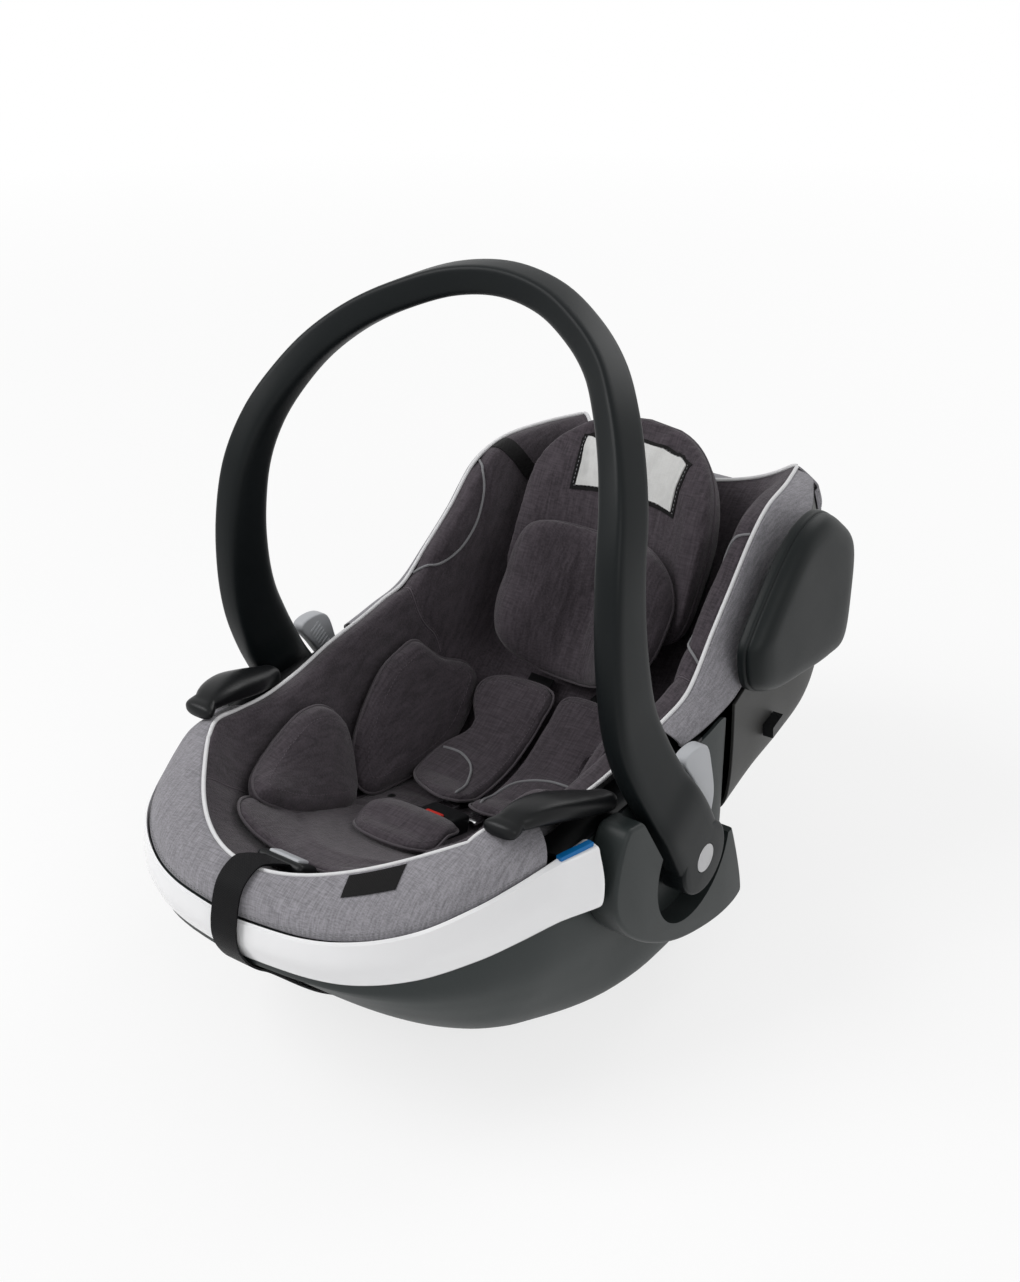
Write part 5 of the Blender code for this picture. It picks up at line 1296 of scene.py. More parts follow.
@lru_cache(maxsize=None)
def finish(name):
    """Material of a finish, made once."""
    look = bpy.context.scene.carrier_colours
    makers = {
        "dark": lambda: cloth_finish("dark_linen", look.dark_fabric, 0.34, 0.5),
        "grey": lambda: cloth_finish("grey_melange", look.grey_fabric, 0.26, streak=900.0),
        "piping": lambda: cord_finish("pale_piping", look.piping),
        "grey_piping": lambda: cord_finish("grey_piping", look.grey_piping),
        "dark_piping": lambda: cord_finish("dark_piping", scaled(look.dark_fabric, 1.05), 0.85),
        "thread": lambda: cord_finish("sewing_thread", scaled(look.dark_fabric, 1.7), 0.8),
        "handle": lambda: plastic_finish("handle_satin", look.handle, 0.42, 0.10,
                                         gloss=0.14),
        "shell": lambda: plastic_finish("shell_grained", look.shell, 0.52, 0.22),
        "hub": lambda: plastic_finish("hub_satin", look.hub, 0.46, 0.14),
        "rear_shell": lambda: plastic_finish("rear_shell_grained", look.rear_shell, 0.5, 0.22),
        "black": lambda: plastic_finish("black_satin", look.black, 0.36, 0.10, gloss=0.18),
        "guard": lambda: plastic_finish("guard_satin", look.guard, 0.45, 0.16, gloss=0.16),
        "white": lambda: plastic_finish("white_gloss", look.trim, 0.24, 0.0, coat=0.4,
                                        wear=0.015, gloss=0.45),
        "blue": lambda: plastic_finish("blue_satin", look.slide, 0.36, 0.05, wear=0.04),
        "lever": lambda: plastic_finish("lever_satin", look.lever, 0.42, 0.08, wear=0.04),
        "red": lambda: plastic_finish("button_red", look.button, 0.38, 0.06),
        "cap": lambda: cap_finish("cap_silver", look.cap),
        "steel": lambda: metal_finish("brushed_steel", (0.55, 0.55, 0.56), 0.34),
        "tongue": lambda: metal_finish("polished_steel", (0.62, 0.62, 0.63), 0.22),
        "foam": lambda: foam_finish("moulded_foam", (0.16, 0.16, 0.17)),
        "web": lambda: webbing_finish("webbing_black", look.webbing),
        "label": lambda: webbing_finish("woven_label_dark", (0.0055, 0.0052, 0.0055), 0.15),
        "label_pale": lambda: cloth_finish("woven_label_pale", (0.62, 0.62, 0.61), 0.05, 0.2,
                                           0.1, 1500.0),
    }
    return makers[name]()


def plate(outline, low_x, high_x):
    """Solid between two planes across X, over an outline of (y, z) points."""
    mesh = bmesh.new()
    bmesh.ops.create_circle(mesh, cap_ends=True, segments=len(outline), radius=1)
    for vert, (y, z) in zip(mesh.verts[:], outline):
        vert.co = (low_x, y, z)
    made = bmesh.ops.extrude_face_region(mesh, geom=mesh.faces[:], use_keep_orig=True)
    moved = [part for part in made["geom"] if isinstance(part, bmesh.types.BMVert)]
    bmesh.ops.translate(mesh, vec=(high_x - low_x, 0, 0), verts=moved)
    return facing_out(mesh)


def side_piece(name, side, mesh, material, body="seat", covers=(), angle=40):
    """Named piece on one side: mirrored for the left, standing for that side's CAD nodes."""
    word = "right" if side > 0 else "left"
    return piece(f"{name}_{word}", side_mesh(mesh, side), material, body,
                 [f"{node}_{word}" for node in covers], angle)


# Rocker, back shell, ledges and hubs

def rocker_mesh():
    """Outer skin of the rocker shell, open at its top."""
    last = len(HULL_RING_SHARES) + 1
    half_turns = len(SHELL_EDGE_SHARES) - 1

    @lru_cache(maxsize=None)
    def rings(position):
        return [tuple(hull_point(position, ring)) for ring in range(last + 1)]
    mesh = bmesh.new()
    bmesh.ops.create_grid(mesh, x_segments=ROCKER_GRID[0], y_segments=ROCKER_GRID[1], size=1)
    for vert in mesh.verts:
        u, v = vert.co.x, vert.co.y
        position = round((-1.0 if u > 1 - FINE_SHARE else u) * half_turns, 6)
        vert.co = spline(rings(position), (v + 1) / 2 * last)
        vert.co.z = max(vert.co.z, 0.0)
    bmesh.ops.remove_doubles(mesh, verts=mesh.verts[:], dist=MERGE_DISTANCE)
    low = [edge for edge in mesh.edges if edge.is_boundary
           and max(vert.co.z for vert in edge.verts) < PIVOT_HEIGHT / 4]
    bmesh.ops.holes_fill(mesh, edges=low, sides=0)
    bmesh.ops.recalc_face_normals(mesh, faces=mesh.faces[:])
    if min(mesh.faces, key=lambda face: face.calc_center_median().z).normal.z > 0:
        bmesh.ops.reverse_faces(mesh, faces=mesh.faces[:])
    return mesh


def make_rocker():
    """Rocker shell with its wall and the windows under the two bars."""
    shell = piece("rocker_shell", rocker_mesh(), "shell", covers=("base_shell",))
    wall = shell.modifiers.new("wall", "SOLIDIFY")
    wall.thickness = SHELL_WALL
    wall.offset = -1
    half = DOCK_WINDOW_SHARE * BODY_HALF_WIDTH
    reach_y = DOCK_WINDOW_LENGTH / 2
    windows = []
    for y, z in dock_bar_places():
        outline = [(y - reach_y, -CUT_OVERRUN), (y + reach_y, -CUT_OVERRUN),
                   (y + reach_y, z), (y - reach_y, z)]
        windows.append(("DIFFERENCE", soften(plate(outline, -half, half), SHELL_WALL)))
    cut(shell, windows)
    return shell


def make_back_shell():
    """Back shell, its face stepped in by a wide panel behind the back."""
    def place(u, v, lift):
        along = (v + 1) / 2
        inside = (ease((BACK_PANEL_SIDE - abs(u)) / BACK_PANEL_EDGE)
                  * ease((along - BACK_PANEL_ALONG[0]) / BACK_PANEL_EDGE)
                  * ease((BACK_PANEL_ALONG[1] - along) / BACK_PANEL_EDGE))
        point, _, _, normal = back_frame(along, u)
        return point + normal * (lift + BACK_PANEL_DEPTH * inside)
    mesh = sheet(96, 72, place, 0.0, SHELL_WALL)
    return rounded(piece("back_shell_skin", mesh, "rear_shell", covers=("back_shell",)),
                   SHELL_WALL / 4, 2, 60)


@lru_cache(maxsize=None)
def back_frame(along, across):
    """Surface frame of the back shell's outer face."""
    return surface_frame(back_point, along, across)


def make_ledges():
    """Ledges between the bowl's side rims and the rocker's edge."""
    columns = len(LEDGE_PROFILE_SHARES) - 1

    def place(u, v, lift):
        width, rise = spline(LEDGE_PROFILE_SHARES, (u + 1) / 2 * columns)
        edge = perimeter(SHELL_EDGE_SHARES, blend(*LEDGE_RANGE_SHARES, (v + 1) / 2))
        x = min(width * BODY_HALF_WIDTH, edge.x - GAP)
        return Vector((x, edge.y, edge.z + rise * LEDGE_DROP + lift))
    for _, side in SIDES:
        made = side_piece("rim_ledge_plate", side, sheet(16, 40, place, 0.0, BAND_WALL),
                          "black", covers=("rim_ledge",))
        rounded(made, BAND_WALL / 4, 2)


def make_hubs():
    """Hub housings: smooth outline, pocket, the sector that the arm sweeps, and the bore for the
    pin.
    """
    outline = smooth_outline([side_place(shares) for shares in HUB_OUTLINE_SHARES],
                             OUTLINE_STEPS)
    centre = (0.0, PIVOT_HEIGHT)
    for _, side in SIDES:
        body = soften(plate(outline, HUB_INNER, HUB_OUTER), SHELL_WALL * 1.2, 4)
        hub = side_piece("hub_shell", side, body, "hub", covers=("hub_housing",))
        pocket = disc(side_place(HUB_POCKET_CENTRE_SHARES), HUB_POCKET_RADIUS, HUB_FLOOR,
                      HUB_OUTER + CUT_OVERRUN)
        sector = plate(fan_arc(HUB_POCKET_RADIUS * HUB_OVERLAP_SHARE, HUB_FAN_STEP_DEGREES)
                       + fan_arc(HUB_FAN_REACH, HUB_FAN_STEP_DEGREES)[::-1],
                       HUB_FLOOR, HUB_OUTER + CUT_OVERRUN)
        beyond = plate(fan_arc(HUB_PLATE_RADIUS, 0.0) + fan_arc(HUB_FAN_REACH, 0.0)[::-1],
                       HUB_INNER - CUT_OVERRUN, HUB_OUTER + CUT_OVERRUN)
        bore = disc(centre, PIN_BORE_RADIUS, HUB_INNER - CUT_OVERRUN, HUB_FLOOR + CUT_OVERRUN)
        tools = [("DIFFERENCE", side_mesh(mesh, side)) for mesh in
                 (pocket, sector, beyond, bore)]
        cut(hub, tools)
        rounded(hub, GAP * 3, 2, 50)


# White trim and the slides on it

def make_trim():
    """White trim round the foot end, its section rounded."""
    def place(u, v):
        ring = trim_section(v * TRIM_END_SHARE)
        return Vector(closed_spline([tuple(point) for point in ring], (u + 1) / 2))
    piece("rim_trim_band", rolled(30, 180, place), "white", covers=("rim_trim",))


def make_slides():
    """Blue slides on the trim beside the hubs."""
    up = Vector((0.0, 0.0, 1.0))

    def place(u, v, lift):
        position = blend(SLIDE_START_SHARE, SLIDE_END_SHARE, (v + 1) / 2)
        edge, _, away, rise, flare = trim_values(position)
        far = edge + up * (rise + LAYER_GAP) + away * (
            TRIM_SIDE_GAP + (TRIM_WALL + flare) * TRIM_LIP_SHARE)
        width = min(SLIDE_WIDTH, (TRIM_WALL + flare) * SLIDE_SHARE)
        return far - away * width * (1 - u) / 2 + up * lift
    for _, side in SIDES:
        made = side_piece("belt_slide_strip", side, sheet(4, 16, place, 0.0, SLIDE_HEIGHT),
                          "blue", covers=("belt_slide",))
        rounded(made, SLIDE_HEIGHT / 5, 3)


# Handle, caps and levers

def make_handle():
    """Carrying handle: one smooth bar with round ends, and a recess for each cap."""
    first = HANDLE_FIRST_SHARE / (len(HANDLE_PATH_SHARES) - 1)
    half = [tuple(map(tuple, handle_section(1 - blend(first, 1.0, step / HANDLE_ROWS))))
            for step in range(HANDLE_ROWS + 1)]

    def place(u, v):
        ring = half[round((1 - abs(v)) * HANDLE_ROWS)]
        return mirrored_point(closed_spline(ring, (u + 1) / 2), 1 if v >= 0 else -1)
    made = piece("handle_bar", rolled(36, 2 * HANDLE_ROWS, place), "handle", "handle",
                 ("handle",))
    centre = (0.0, PIVOT_HEIGHT)
    tools = []
    for _, side in SIDES:
        end = soften(disc(centre, ARM_END_RADIUS, ARM_INNER, ARM_OUTER), SHELL_WALL, 4)
        bore = disc(centre, PIN_BORE_RADIUS, ARM_INNER - CUT_OVERRUN, ARM_OUTER + CUT_OVERRUN)
        recess = disc(centre, CAP_BORE_RADIUS, CAP_INNER - GAP, ARM_OUTER + CUT_OVERRUN)
        tools += [(operation, side_mesh(tool, side)) for operation, tool in
                  (("UNION", end), ("DIFFERENCE", bore), ("DIFFERENCE", recess))]
    cut(made, tools)
    for _, side in SIDES:
        cap = soften(disc(centre, CAP_RADIUS, CAP_INNER, CAP_OUTER), GAP * 2, 3)
        side_piece("pivot_cap_face", side, cap, "cap", "handle", ("pivot_cap",))


def make_levers():
    """Squeeze levers with finger ribs on their inner faces."""
    outline = smooth_outline([arm_rear_place(shares) for shares in LEVER_OUTLINE_SHARES],
                             OUTLINE_STEPS // 2)
    for word, side in SIDES:
        mesh = soften(plate(outline, LEVER_INNER, LEVER_OUTER), SHELL_WALL * 0.7, 4)
        side_piece("lever_grip", side, mesh, "lever", f"lever_{word}", ("handle_lever",))
        ribs = bmesh.new()
        for step in range(LEVER_RIBS):
            share = (step + 1) / (LEVER_RIBS + 1)
            low, high = (Vector((LEVER_INNER, *arm_rear_place((behind, blend(*span, share)))))
                         for behind, *span in LEVER_RIB_SPANS)
            normal = Vector((-1.0, 0.0, 0.0))
            path = [low.lerp(high, part / 8) for part in range(9)]
            tube_into(ribs, path, [normal] * 9, LEVER_RIB_RADIUS)
        side_piece("lever_ribs", side, ribs, "lever", f"lever_{word}")


# Side guard and belt hooks

def make_guard():
    """Side guard: a bulged pod with a double lip round its face."""
    outline = [side_place(shares) for shares in GUARD_OUTLINE_SHARES]
    middle = Vector((0.0, sum(point[0] for point in outline) / len(outline),
                     sum(point[1] for point in outline) / len(outline)))
    rows = len(GUARD_FACE_SHARES) - 1

    def place(u, v):
        depth, share = spline(GUARD_FACE_SHARES, (v + 1) / 2 * rows)
        y, z = closed_spline(outline, (u + 1) / 2)
        x = blend(GUARD_INNER, GUARD_OUTER, min(max(depth, 0.0), 1.0))
        return Vector((x, blend(middle.y, y, share), blend(middle.z, z, share)))
    return piece("side_guard_pod", rolled(120, 66, place), "guard",
                 covers=("side_guard",))


def make_hooks():
    """Belt hooks over the rims, round at both ends."""
    rows = len(HOOK_PATH_SHARES) - 1

    def place(u, v):
        share = (v + 1) / 2
        values = spline(HOOK_PATH_SHARES, blend(HOOK_START_SHARE, 1.0, share) * rows)
        tip = math.sqrt(max(1 - max(abs(v) - HOOK_TIP[0], 0.0) ** 2 / HOOK_TIP[1] ** 2, 0.0))
        angle = math.pi * u
        a, b = squared((math.cos(angle), math.sin(angle)), HOOK_SQUARE)
        lip = ease((share - HOOK_LIP[0]) / HOOK_LIP[1])
        width = max(values[3], HOOK_LIP_SHARES[0] * lip) * HOOK_HALF_WIDTH * tip
        height = max(values[4], HOOK_LIP_SHARES[1] * lip) * HOOK_HALF_HEIGHT * tip * HOOK_SWELL
        return body_point(values[:3]) + Vector((a * width, 0.0, b * height))
    for _, side in SIDES:
        side_piece("belt_hook_arm", side, rolled(36, 72, place), "black",
                   covers=("belt_hook",))


# Seat cover with its seams and piping

@lru_cache(maxsize=None)
def seam_tree():
    """Search tree over the places of the seams on the bowl."""
    places = []
    for shares in (WING_ARC_SHARES, TORSO_SEAM_SHARES, HIP_SEAM_SHARES):
        rows = len(shares) - 1
        for step in range(SEAM_STEPS + 1):
            along, across = spline(shares, step / SEAM_STEPS * rows)
            for side in (-1, 1):
                places.append(seat_point(along, across * side))
    return point_tree(places)


def cover_lift(along, across):
    """How much the dark cover stands over or sinks under the bowl at a place."""
    point = seat_frame(along, across)[0]
    near = seam_tree().find(point)[2]
    dip = -SEAM_DIP * math.exp(-(near / SEAM_WIDTH) ** 2)
    fade = ease((1 - abs(across)) / COVER_FADE[0]) * ease(along / COVER_FADE[1])
    folds = ripple((point.x * 0.6, point.y, point.z), 26.0, 3.0) * COVER_FOLDS[0]
    folds += ripple((point.x, point.y * 0.5, point.z * 0.5), 60.0, 7.0) * COVER_FOLDS[1]
    return dip + folds * fade


def make_seat_cover():
    """Dark cover of the bowl, from piping to piping."""
    def place(u, v, lift):
        along = (v + 1) / 2
        return seat_lift(along, u, lift + (cover_lift(along, u) if lift >= 0 else 0.0))
    mesh = sheet(112, 120, place, 0.0, -COVER_WALL)
    return piece("seat_cover_fabric", mesh, "dark", covers=("seat_cover",))


def bowl_path(shares, side, lift, steps):
    """Points and normals along a seam on the bowl."""
    rows = len(shares) - 1
    points, normals = [], []
    for step in range(steps + 1):
        along, across = spline(shares, step / steps * rows)
        across = min(max(across * side, -1.0), 1.0)
        points.append(seat_lift(along, across, lift + cover_lift(along, across)))
        normals.append(seat_frame(along, across)[3])
    return points, normals


def make_seams():
    """Sunk seams of the seat cover with a sewn row on each side."""
    sewn = bmesh.new()
    for shares in (TORSO_SEAM_SHARES, HIP_SEAM_SHARES):
        for _, side in SIDES:
            points, normals = bowl_path(shares, side, GAP, 60)
            tube_into(sewn, points, normals, SEAM_RADIUS, 6)
            tangents = [(b - a).normalized() for a, b in zip(points, points[1:])]
            tangents.append(tangents[-1])
            for offset in (-1, 1):
                row = [point + tangent.cross(normal).normalized() * offset * SEAM_ROW
                       for point, tangent, normal in zip(points, tangents, normals)]
                sew(sewn, row, normals)
    piece("cover_seams", sewn, "thread")


def piping_row(route):
    """Points and normals of the pale piping through (along, across) places."""
    rise = bpy.context.scene.carrier_sizes.piping_radius * 0.5
    frames = [seat_frame(*place) for place in route]
    return [place[0] + place[3] * rise for place in frames], [place[3] for place in frames]


def make_rim_piping():
    """Pale piping round the whole bowl, and grey piping round the wings' panels."""
    size = bpy.context.scene.carrier_sizes
    steps = RIM_STEPS
    route = [(share / steps, 1.0) for share in range(steps, 0, -1)]
    route += [(0.0, blend(1.0, -1.0, share / FOOT_STEPS)) for share in range(FOOT_STEPS + 1)]
    route += [(share / steps, -1.0) for share in range(1, steps + 1)]
    cord_piece("rim_piping", [piping_row(route)], size.piping_radius, "piping",
               sides=PIPING_SIDES)
    arcs = [bowl_path(WING_ARC_SHARES, side, size.cord_radius * 0.7, 90) for _, side in SIDES]
    cord_piece("wing_piping", arcs, size.cord_radius, "grey_piping")


# Grey covers

def make_foot_cover():
    """Grey cover of the foot end, softly rippled, with a sewn hem."""
    up = Vector((0.0, 0.0, 1.0))

    def place(u, v, lift):
        position = u * BAND_END_SHARE
        side = math.copysign(1.0, position)
        distance = abs(position)
        inner = seat_point(max(distance - BAND_CORNER_SHARE, 0.0) * BAND_PACE_SHARE,
                           side * min(distance / BAND_CORNER_SHARE, 1.0))
        edge = perimeter(SHELL_EDGE_SHARES, position)
        away = plan_away(edge)
        tilted = (away + up * BAND_TILT_SHARE).normalized()
        inner = inner + (away + up).normalized() * BAND_TUCK
        outer = edge + up * HEM_RISE - away * HEM_INSET
        part = (v + 1) / 2
        point = strip_point(inner, outer, tilted, part, BAND_BULGE, lift)
        if lift > 0:
            fade = math.sin(math.pi * part)
            fold = ripple((point.x, point.y, point.z * 2.0), 22.0, 11.0) * FOOT_FOLD * fade
            point = point + tilted * fold
        return point
    piece("foot_cover_fabric", sheet(200, 22, place, 0.0, BAND_WALL), "grey",
          covers=("foot_cover",))
    hems = []
    for v in FOOT_HEM_PLACES:
        row = hem_row(place, v, 0.995, 260)
        hems.append((row, [plan_away(point) + up * 0.6 for point in row]))
    sewn_piece("foot_cover_hem", hems, "grey_piping")
    make_foot_label(place)


def hem_row(place, v, end, steps, wall=BAND_WALL):
    """Points of a hem along a grey cover."""
    return [place(blend(-end, end, step / steps), v, wall + GAP) for step in range(steps + 1)]


def make_foot_label(place):
    """Bare woven label that hangs from the piping of the foot end."""
    def laid(u, v, lift):
        position = blend(*FOOT_LABEL_RANGE, (u + 1) / 2) / BAND_END_SHARE
        return place(position, blend(*FOOT_LABEL_PARTS, (v + 1) / 2), BAND_WALL + lift)
    piece("foot_label", sheet(24, 12, laid, -PATCH_LIFT / 3, PATCH_LIFT, (0.043, 0.017)),
          "label")


def make_side_covers():
    """Grey covers beside the torso and head, with a sewn hem."""
    edges = (WING_LOW_EDGE,) + WING_EDGE_SHARES
    rows = len(edges) - 1
    away = Vector((1.0, 0.0, 0.0))

    def place(u, v, lift):
        part = (u + 1) / 2
        inner = seat_point(blend(WING_LOW_SHARE, WING_ALONG_SHARES[1], part), 1.0)
        inner = inner + away * GAP * 2
        outer = body_point(spline(edges, part * rows))
        point = strip_point(inner, outer, away, (v + 1) / 2, WING_BULGE, lift)
        if lift > 0:
            fade = math.sin(math.pi * (v + 1) / 2)
            point = point + away * ripple(point, 24.0, 5.0) * SIDE_FOLD * fade
        return point
    for _, side in SIDES:
        side_piece("side_cover_fabric", side, sheet(120, 26, place, 0.0, BAND_WALL), "grey",
                   covers=("side_cover",))
        sewn = bmesh.new()
        row = hem_row(place, SIDE_HEM_PLACE, 0.99, 200)
        sew(sewn, row, [away] * len(row))
        side_piece("side_cover_hem", side, sewn, "grey_piping")


# Padded pieces

def pad_mesh(ring, lifts, slope):
    """Crowned pad over the bowl: the outline is a closed ring of (along, across) shares."""
    low, high = lifts
    edge = blend(low, high, PAD_EDGE_SHARE)
    centre = ring_centre(ring)
    mesh = bmesh.new()
    bmesh.ops.create_uvsphere(mesh, u_segments=PAD_GRID[0], v_segments=PAD_GRID[1], radius=1)
    for vert in mesh.verts:
        a, b, c = vert.co
        place = ring_place(ring, centre, math.atan2(b, a) / (2 * math.pi),
                           math.hypot(a, b) ** PAD_SPREAD)
        lift = (blend(edge, high, max(c, 0.0) ** PAD_CROWN) if c >= 0
                else blend(edge, low, (-c) ** PAD_CROWN))
        vert.co = seat_lift(*place, lift + (slope(*place) if slope else 0.0))
    return facing_out(mesh)


def ring_centre(ring):
    """Middle of an outline."""
    return tuple(sum(values) / len(ring) for values in zip(*ring))


def ring_place(ring, centre, share, spread):
    """Place at a share round an outline, drawn towards its middle."""
    along, across = closed_spline(ring, share)
    return blend(centre[0], along, spread), blend(centre[1], across, spread)


def pad_rim(ring, lift, slope):
    """Points and normals round a pad's sewn edge."""
    points, normals = [], []
    for step in range(PAD_RIM_STEPS):
        along, across = closed_spline(ring, step / PAD_RIM_STEPS)
        points.append(seat_lift(along, across, lift + (slope(along, across) if slope else 0.0)))
        normals.append(seat_frame(along, across)[3])
    return points, normals


def mirrored_ring(ring, side):
    """The outline itself for the right side, mirrored for the left."""
    return tuple((along, across * side) for along, across in ring)


def skin_tree(made):
    """Search tree over a piece's finished skin."""
    view = bpy.context.evaluated_depsgraph_get()
    view.update()
    return BVHTree.FromObject(made, view)


def settled(tree, points, lift):
    """Points brought onto a skin, at a lift over it, with the skin's normals."""
    places, normals = [], []
    for point in points:
        place, normal, _, _ = tree.find_nearest(point)
        places.append(place + normal * lift)
        normals.append(normal)
    return places, normals


def make_pad(name, ring, lifts, covers, slope=None):
    """Padded piece on the bowl with a self-piped, stitched edge."""
    made = piece(name, pad_mesh(ring, lifts, slope), "dark", covers=covers)
    points, normals = pad_rim(ring, blend(*lifts, PAD_EDGE_SHARE), slope)
    puff(made, points)
    cord_piece(f"{name}_piping", [(points, normals)],
               bpy.context.scene.carrier_sizes.cord_radius, "dark_piping", closed=True)
    centre = ring_centre(ring)
    row = [seat_lift(*ring_place(ring, centre, step / 160, STITCH_SPREAD), lifts[1])
           for step in range(161)]
    sewn_piece(f"{name}_stitches", [settled(skin_tree(made), row, STITCH_RADIUS / 2)],
               "thread")
    return made


def shoulder_slope(along, _across):
    """The pad's low end lifts over the buckle's tongue."""
    start, length, rise = SHOULDER_SLOPE
    return rise * (1 - ease((along - start) / length))


def crotch_slope(along, _across):
    """The pad's rear end lies on the buckle."""
    start, length, rise = CROTCH_SLOPE
    return rise * ease((along - start) / length)


def make_pads():
    """Seat cushion, hip pads, torso pads, crotch pad and shoulder pads."""
    make_pad("seat_cushion_pad", CUSHION_RING, (0.0012, CUSHION_LIFTS[1]), ("seat_cushion",))
    cord = bpy.context.scene.carrier_sizes.cord_radius
    arcs = []
    for word, side in SIDES:
        make_pad(f"hip_pad_soft_{word}", mirrored_ring(HIP_RING, side),
                 (HIP_LIFTS[0], HIP_LIFTS[1] + PAD_RAISE), (f"hip_pad_{word}",))
        make_pad(f"torso_pad_soft_{word}", mirrored_ring(TORSO_RING, side),
                 (TORSO_LIFTS[0], TORSO_LIFTS[1] + PAD_RAISE), (f"torso_pad_{word}",))
        pad = make_pad(f"shoulder_pad_soft_{word}", mirrored_ring(SHOULDER_RING, side),
                       (SHOULDER_LIFTS[0], SHOULDER_LIFTS[1] + PAD_RAISE / 2),
                       (f"shoulder_pad_{word}",), shoulder_slope)
        shares = SHOULDER_ARC_LEFT if side < 0 else SHOULDER_ARC_RIGHT
        rows = len(shares) - 1
        row = [seat_lift(along, across * side, SHOULDER_LIFTS[1] + PAD_RAISE
                         + shoulder_slope(along, across))
               for along, across in (spline(shares, step / 60 * rows) for step in range(61))]
        arcs.append(settled(skin_tree(pad), row, cord * 0.4))
    make_pad("crotch_pad_soft", CROTCH_RING, CROTCH_LIFTS, ("crotch_pad",), crotch_slope)
    cord_piece("shoulder_piping", arcs, cord, "grey_piping")


# Headrest

def cover_surface(along, across, lift):
    """Point of the headrest cover: along its slide, across it and through it."""
    x = across * CROWN_HALF * (1 - CROWN_TAPER * ease(2 * along - 1))
    first, last = HEADREST_COVER_ALONG
    place = blend(first, last - CROWN_DROP * (abs(x) / CROWN_HALF) ** 2.5, along)
    low = headrest_back(x, place) + HEADREST_SHELL_WALL + GAP * 3
    high = max(headrest_front(x, place) + CROWN_WING * (abs(x) / CROWN_HALF) ** 3,
               low + BAND_WALL)
    return headrest_place(x, place, blend(low, high, lift))


def pillow_surface(along, across, lift):
    """Point of the newborn pillow: two lobes beside a dip for the head."""
    x = across * PILLOW_HALF
    place = blend(*PILLOW_ALONG, along)
    side = min(abs(x) / PILLOW_HALF, 1.0)
    rest = max(headrest_front(x, place) + PILLOW_GAP,
               PILLOW_BACK + PILLOW_SIDE_RISE * side ** 3)
    lobe = math.exp(-((abs(x) - PILLOW_LOBE_PLACE) / PILLOW_LOBE_SPREAD) ** 2)
    top = rest + PILLOW_MIDDLE + PILLOW_LOBE * lobe
    return headrest_place(x, place, blend(rest, top, lift))


def squared_pad(surface, power):
    """Crowned pad with drawn-in sides over a surface of three shares from 0 to 1."""
    mesh = bmesh.new()
    bmesh.ops.create_uvsphere(mesh, u_segments=HEAD_GRID[0], v_segments=HEAD_GRID[1], radius=1)
    for vert in mesh.verts:
        a, b, c = squared(vert.co, power)
        vert.co = surface((b + 1) / 2, a, (c + 1) / 2)
    return facing_out(mesh)


def squared_rim(surface, power, lift):
    """Points round the edge of such a pad."""
    points = []
    for step in range(PAD_RIM_STEPS):
        angle = 2 * math.pi * step / PAD_RIM_STEPS
        a, b = squared((math.cos(angle), math.sin(angle)), power)
        points.append(surface((b + 1) / 2, a, lift))
    return points


def make_headrest():
    """Headrest cover with its bare patch, and the newborn pillow, on the headrest."""
    out = Vector((0.0, -1.0, 0.4)).normalized()
    for name, surface, share, covers, fill in (
            ("headrest_cover_soft", cover_surface, 0.36, ("headrest_cover",), 0.5),
            ("head_pillow_soft", pillow_surface, 0.72, ("head_pillow",), 0.6)):
        made = piece(name, squared_pad(surface, share), "dark", "headrest", covers)
        points = squared_rim(surface, share, 0.5)
        puff(made, points)
        cord_piece(f"{name}_piping", [(points, [out] * len(points))],
                   bpy.context.scene.carrier_sizes.cord_radius, "dark_piping", "headrest",
                   closed=True)
        if surface is cover_surface:
            make_patch("headrest_patch", skin_tree(made), PATCH_SHARES, "headrest")


def make_patch(name, tree, shares, body):
    """Bare pale patch sewn on the headrest, with a dark border."""
    def over(u, v, inset_along, inset_across):
        """Point over the cover, drawn in from the patch's edge by shares."""
        along = blend(shares[0][0] + inset_along, shares[0][1] - inset_along, (v + 1) / 2)
        across = blend(shares[1][0] + inset_across, shares[1][1] - inset_across, (u + 1) / 2)
        return cover_surface(along, across, PATCH_START)
    for part, inset, lift, material in PATCH_LAYERS:
        def place(u, v, height, inset=inset):
            points, _ = settled(tree, [over(u, v, inset / 2, inset)], height)
            return points[0]
        mesh = sheet(66, 36, place, -PATCH_LIFT, PATCH_LIFT * lift, PATCH_SIZE)
        piece(f"{name}_{part}", mesh, material, body)
    steps = PATCH_STITCH_STEPS
    rim = [(u, -steps) for u in range(-steps, steps)] + [(steps, v) for v in range(-steps, steps)]
    rim += [(-a, -b) for a, b in rim]
    row = [over(a / steps, b / steps, PATCH_STITCH_INSET, PATCH_STITCH_INSET) for a, b in rim]
    sewn_piece(f"{name}_stitches", [settled(tree, row, PATCH_LIFT * 1.2)], "grey_piping",
               body)


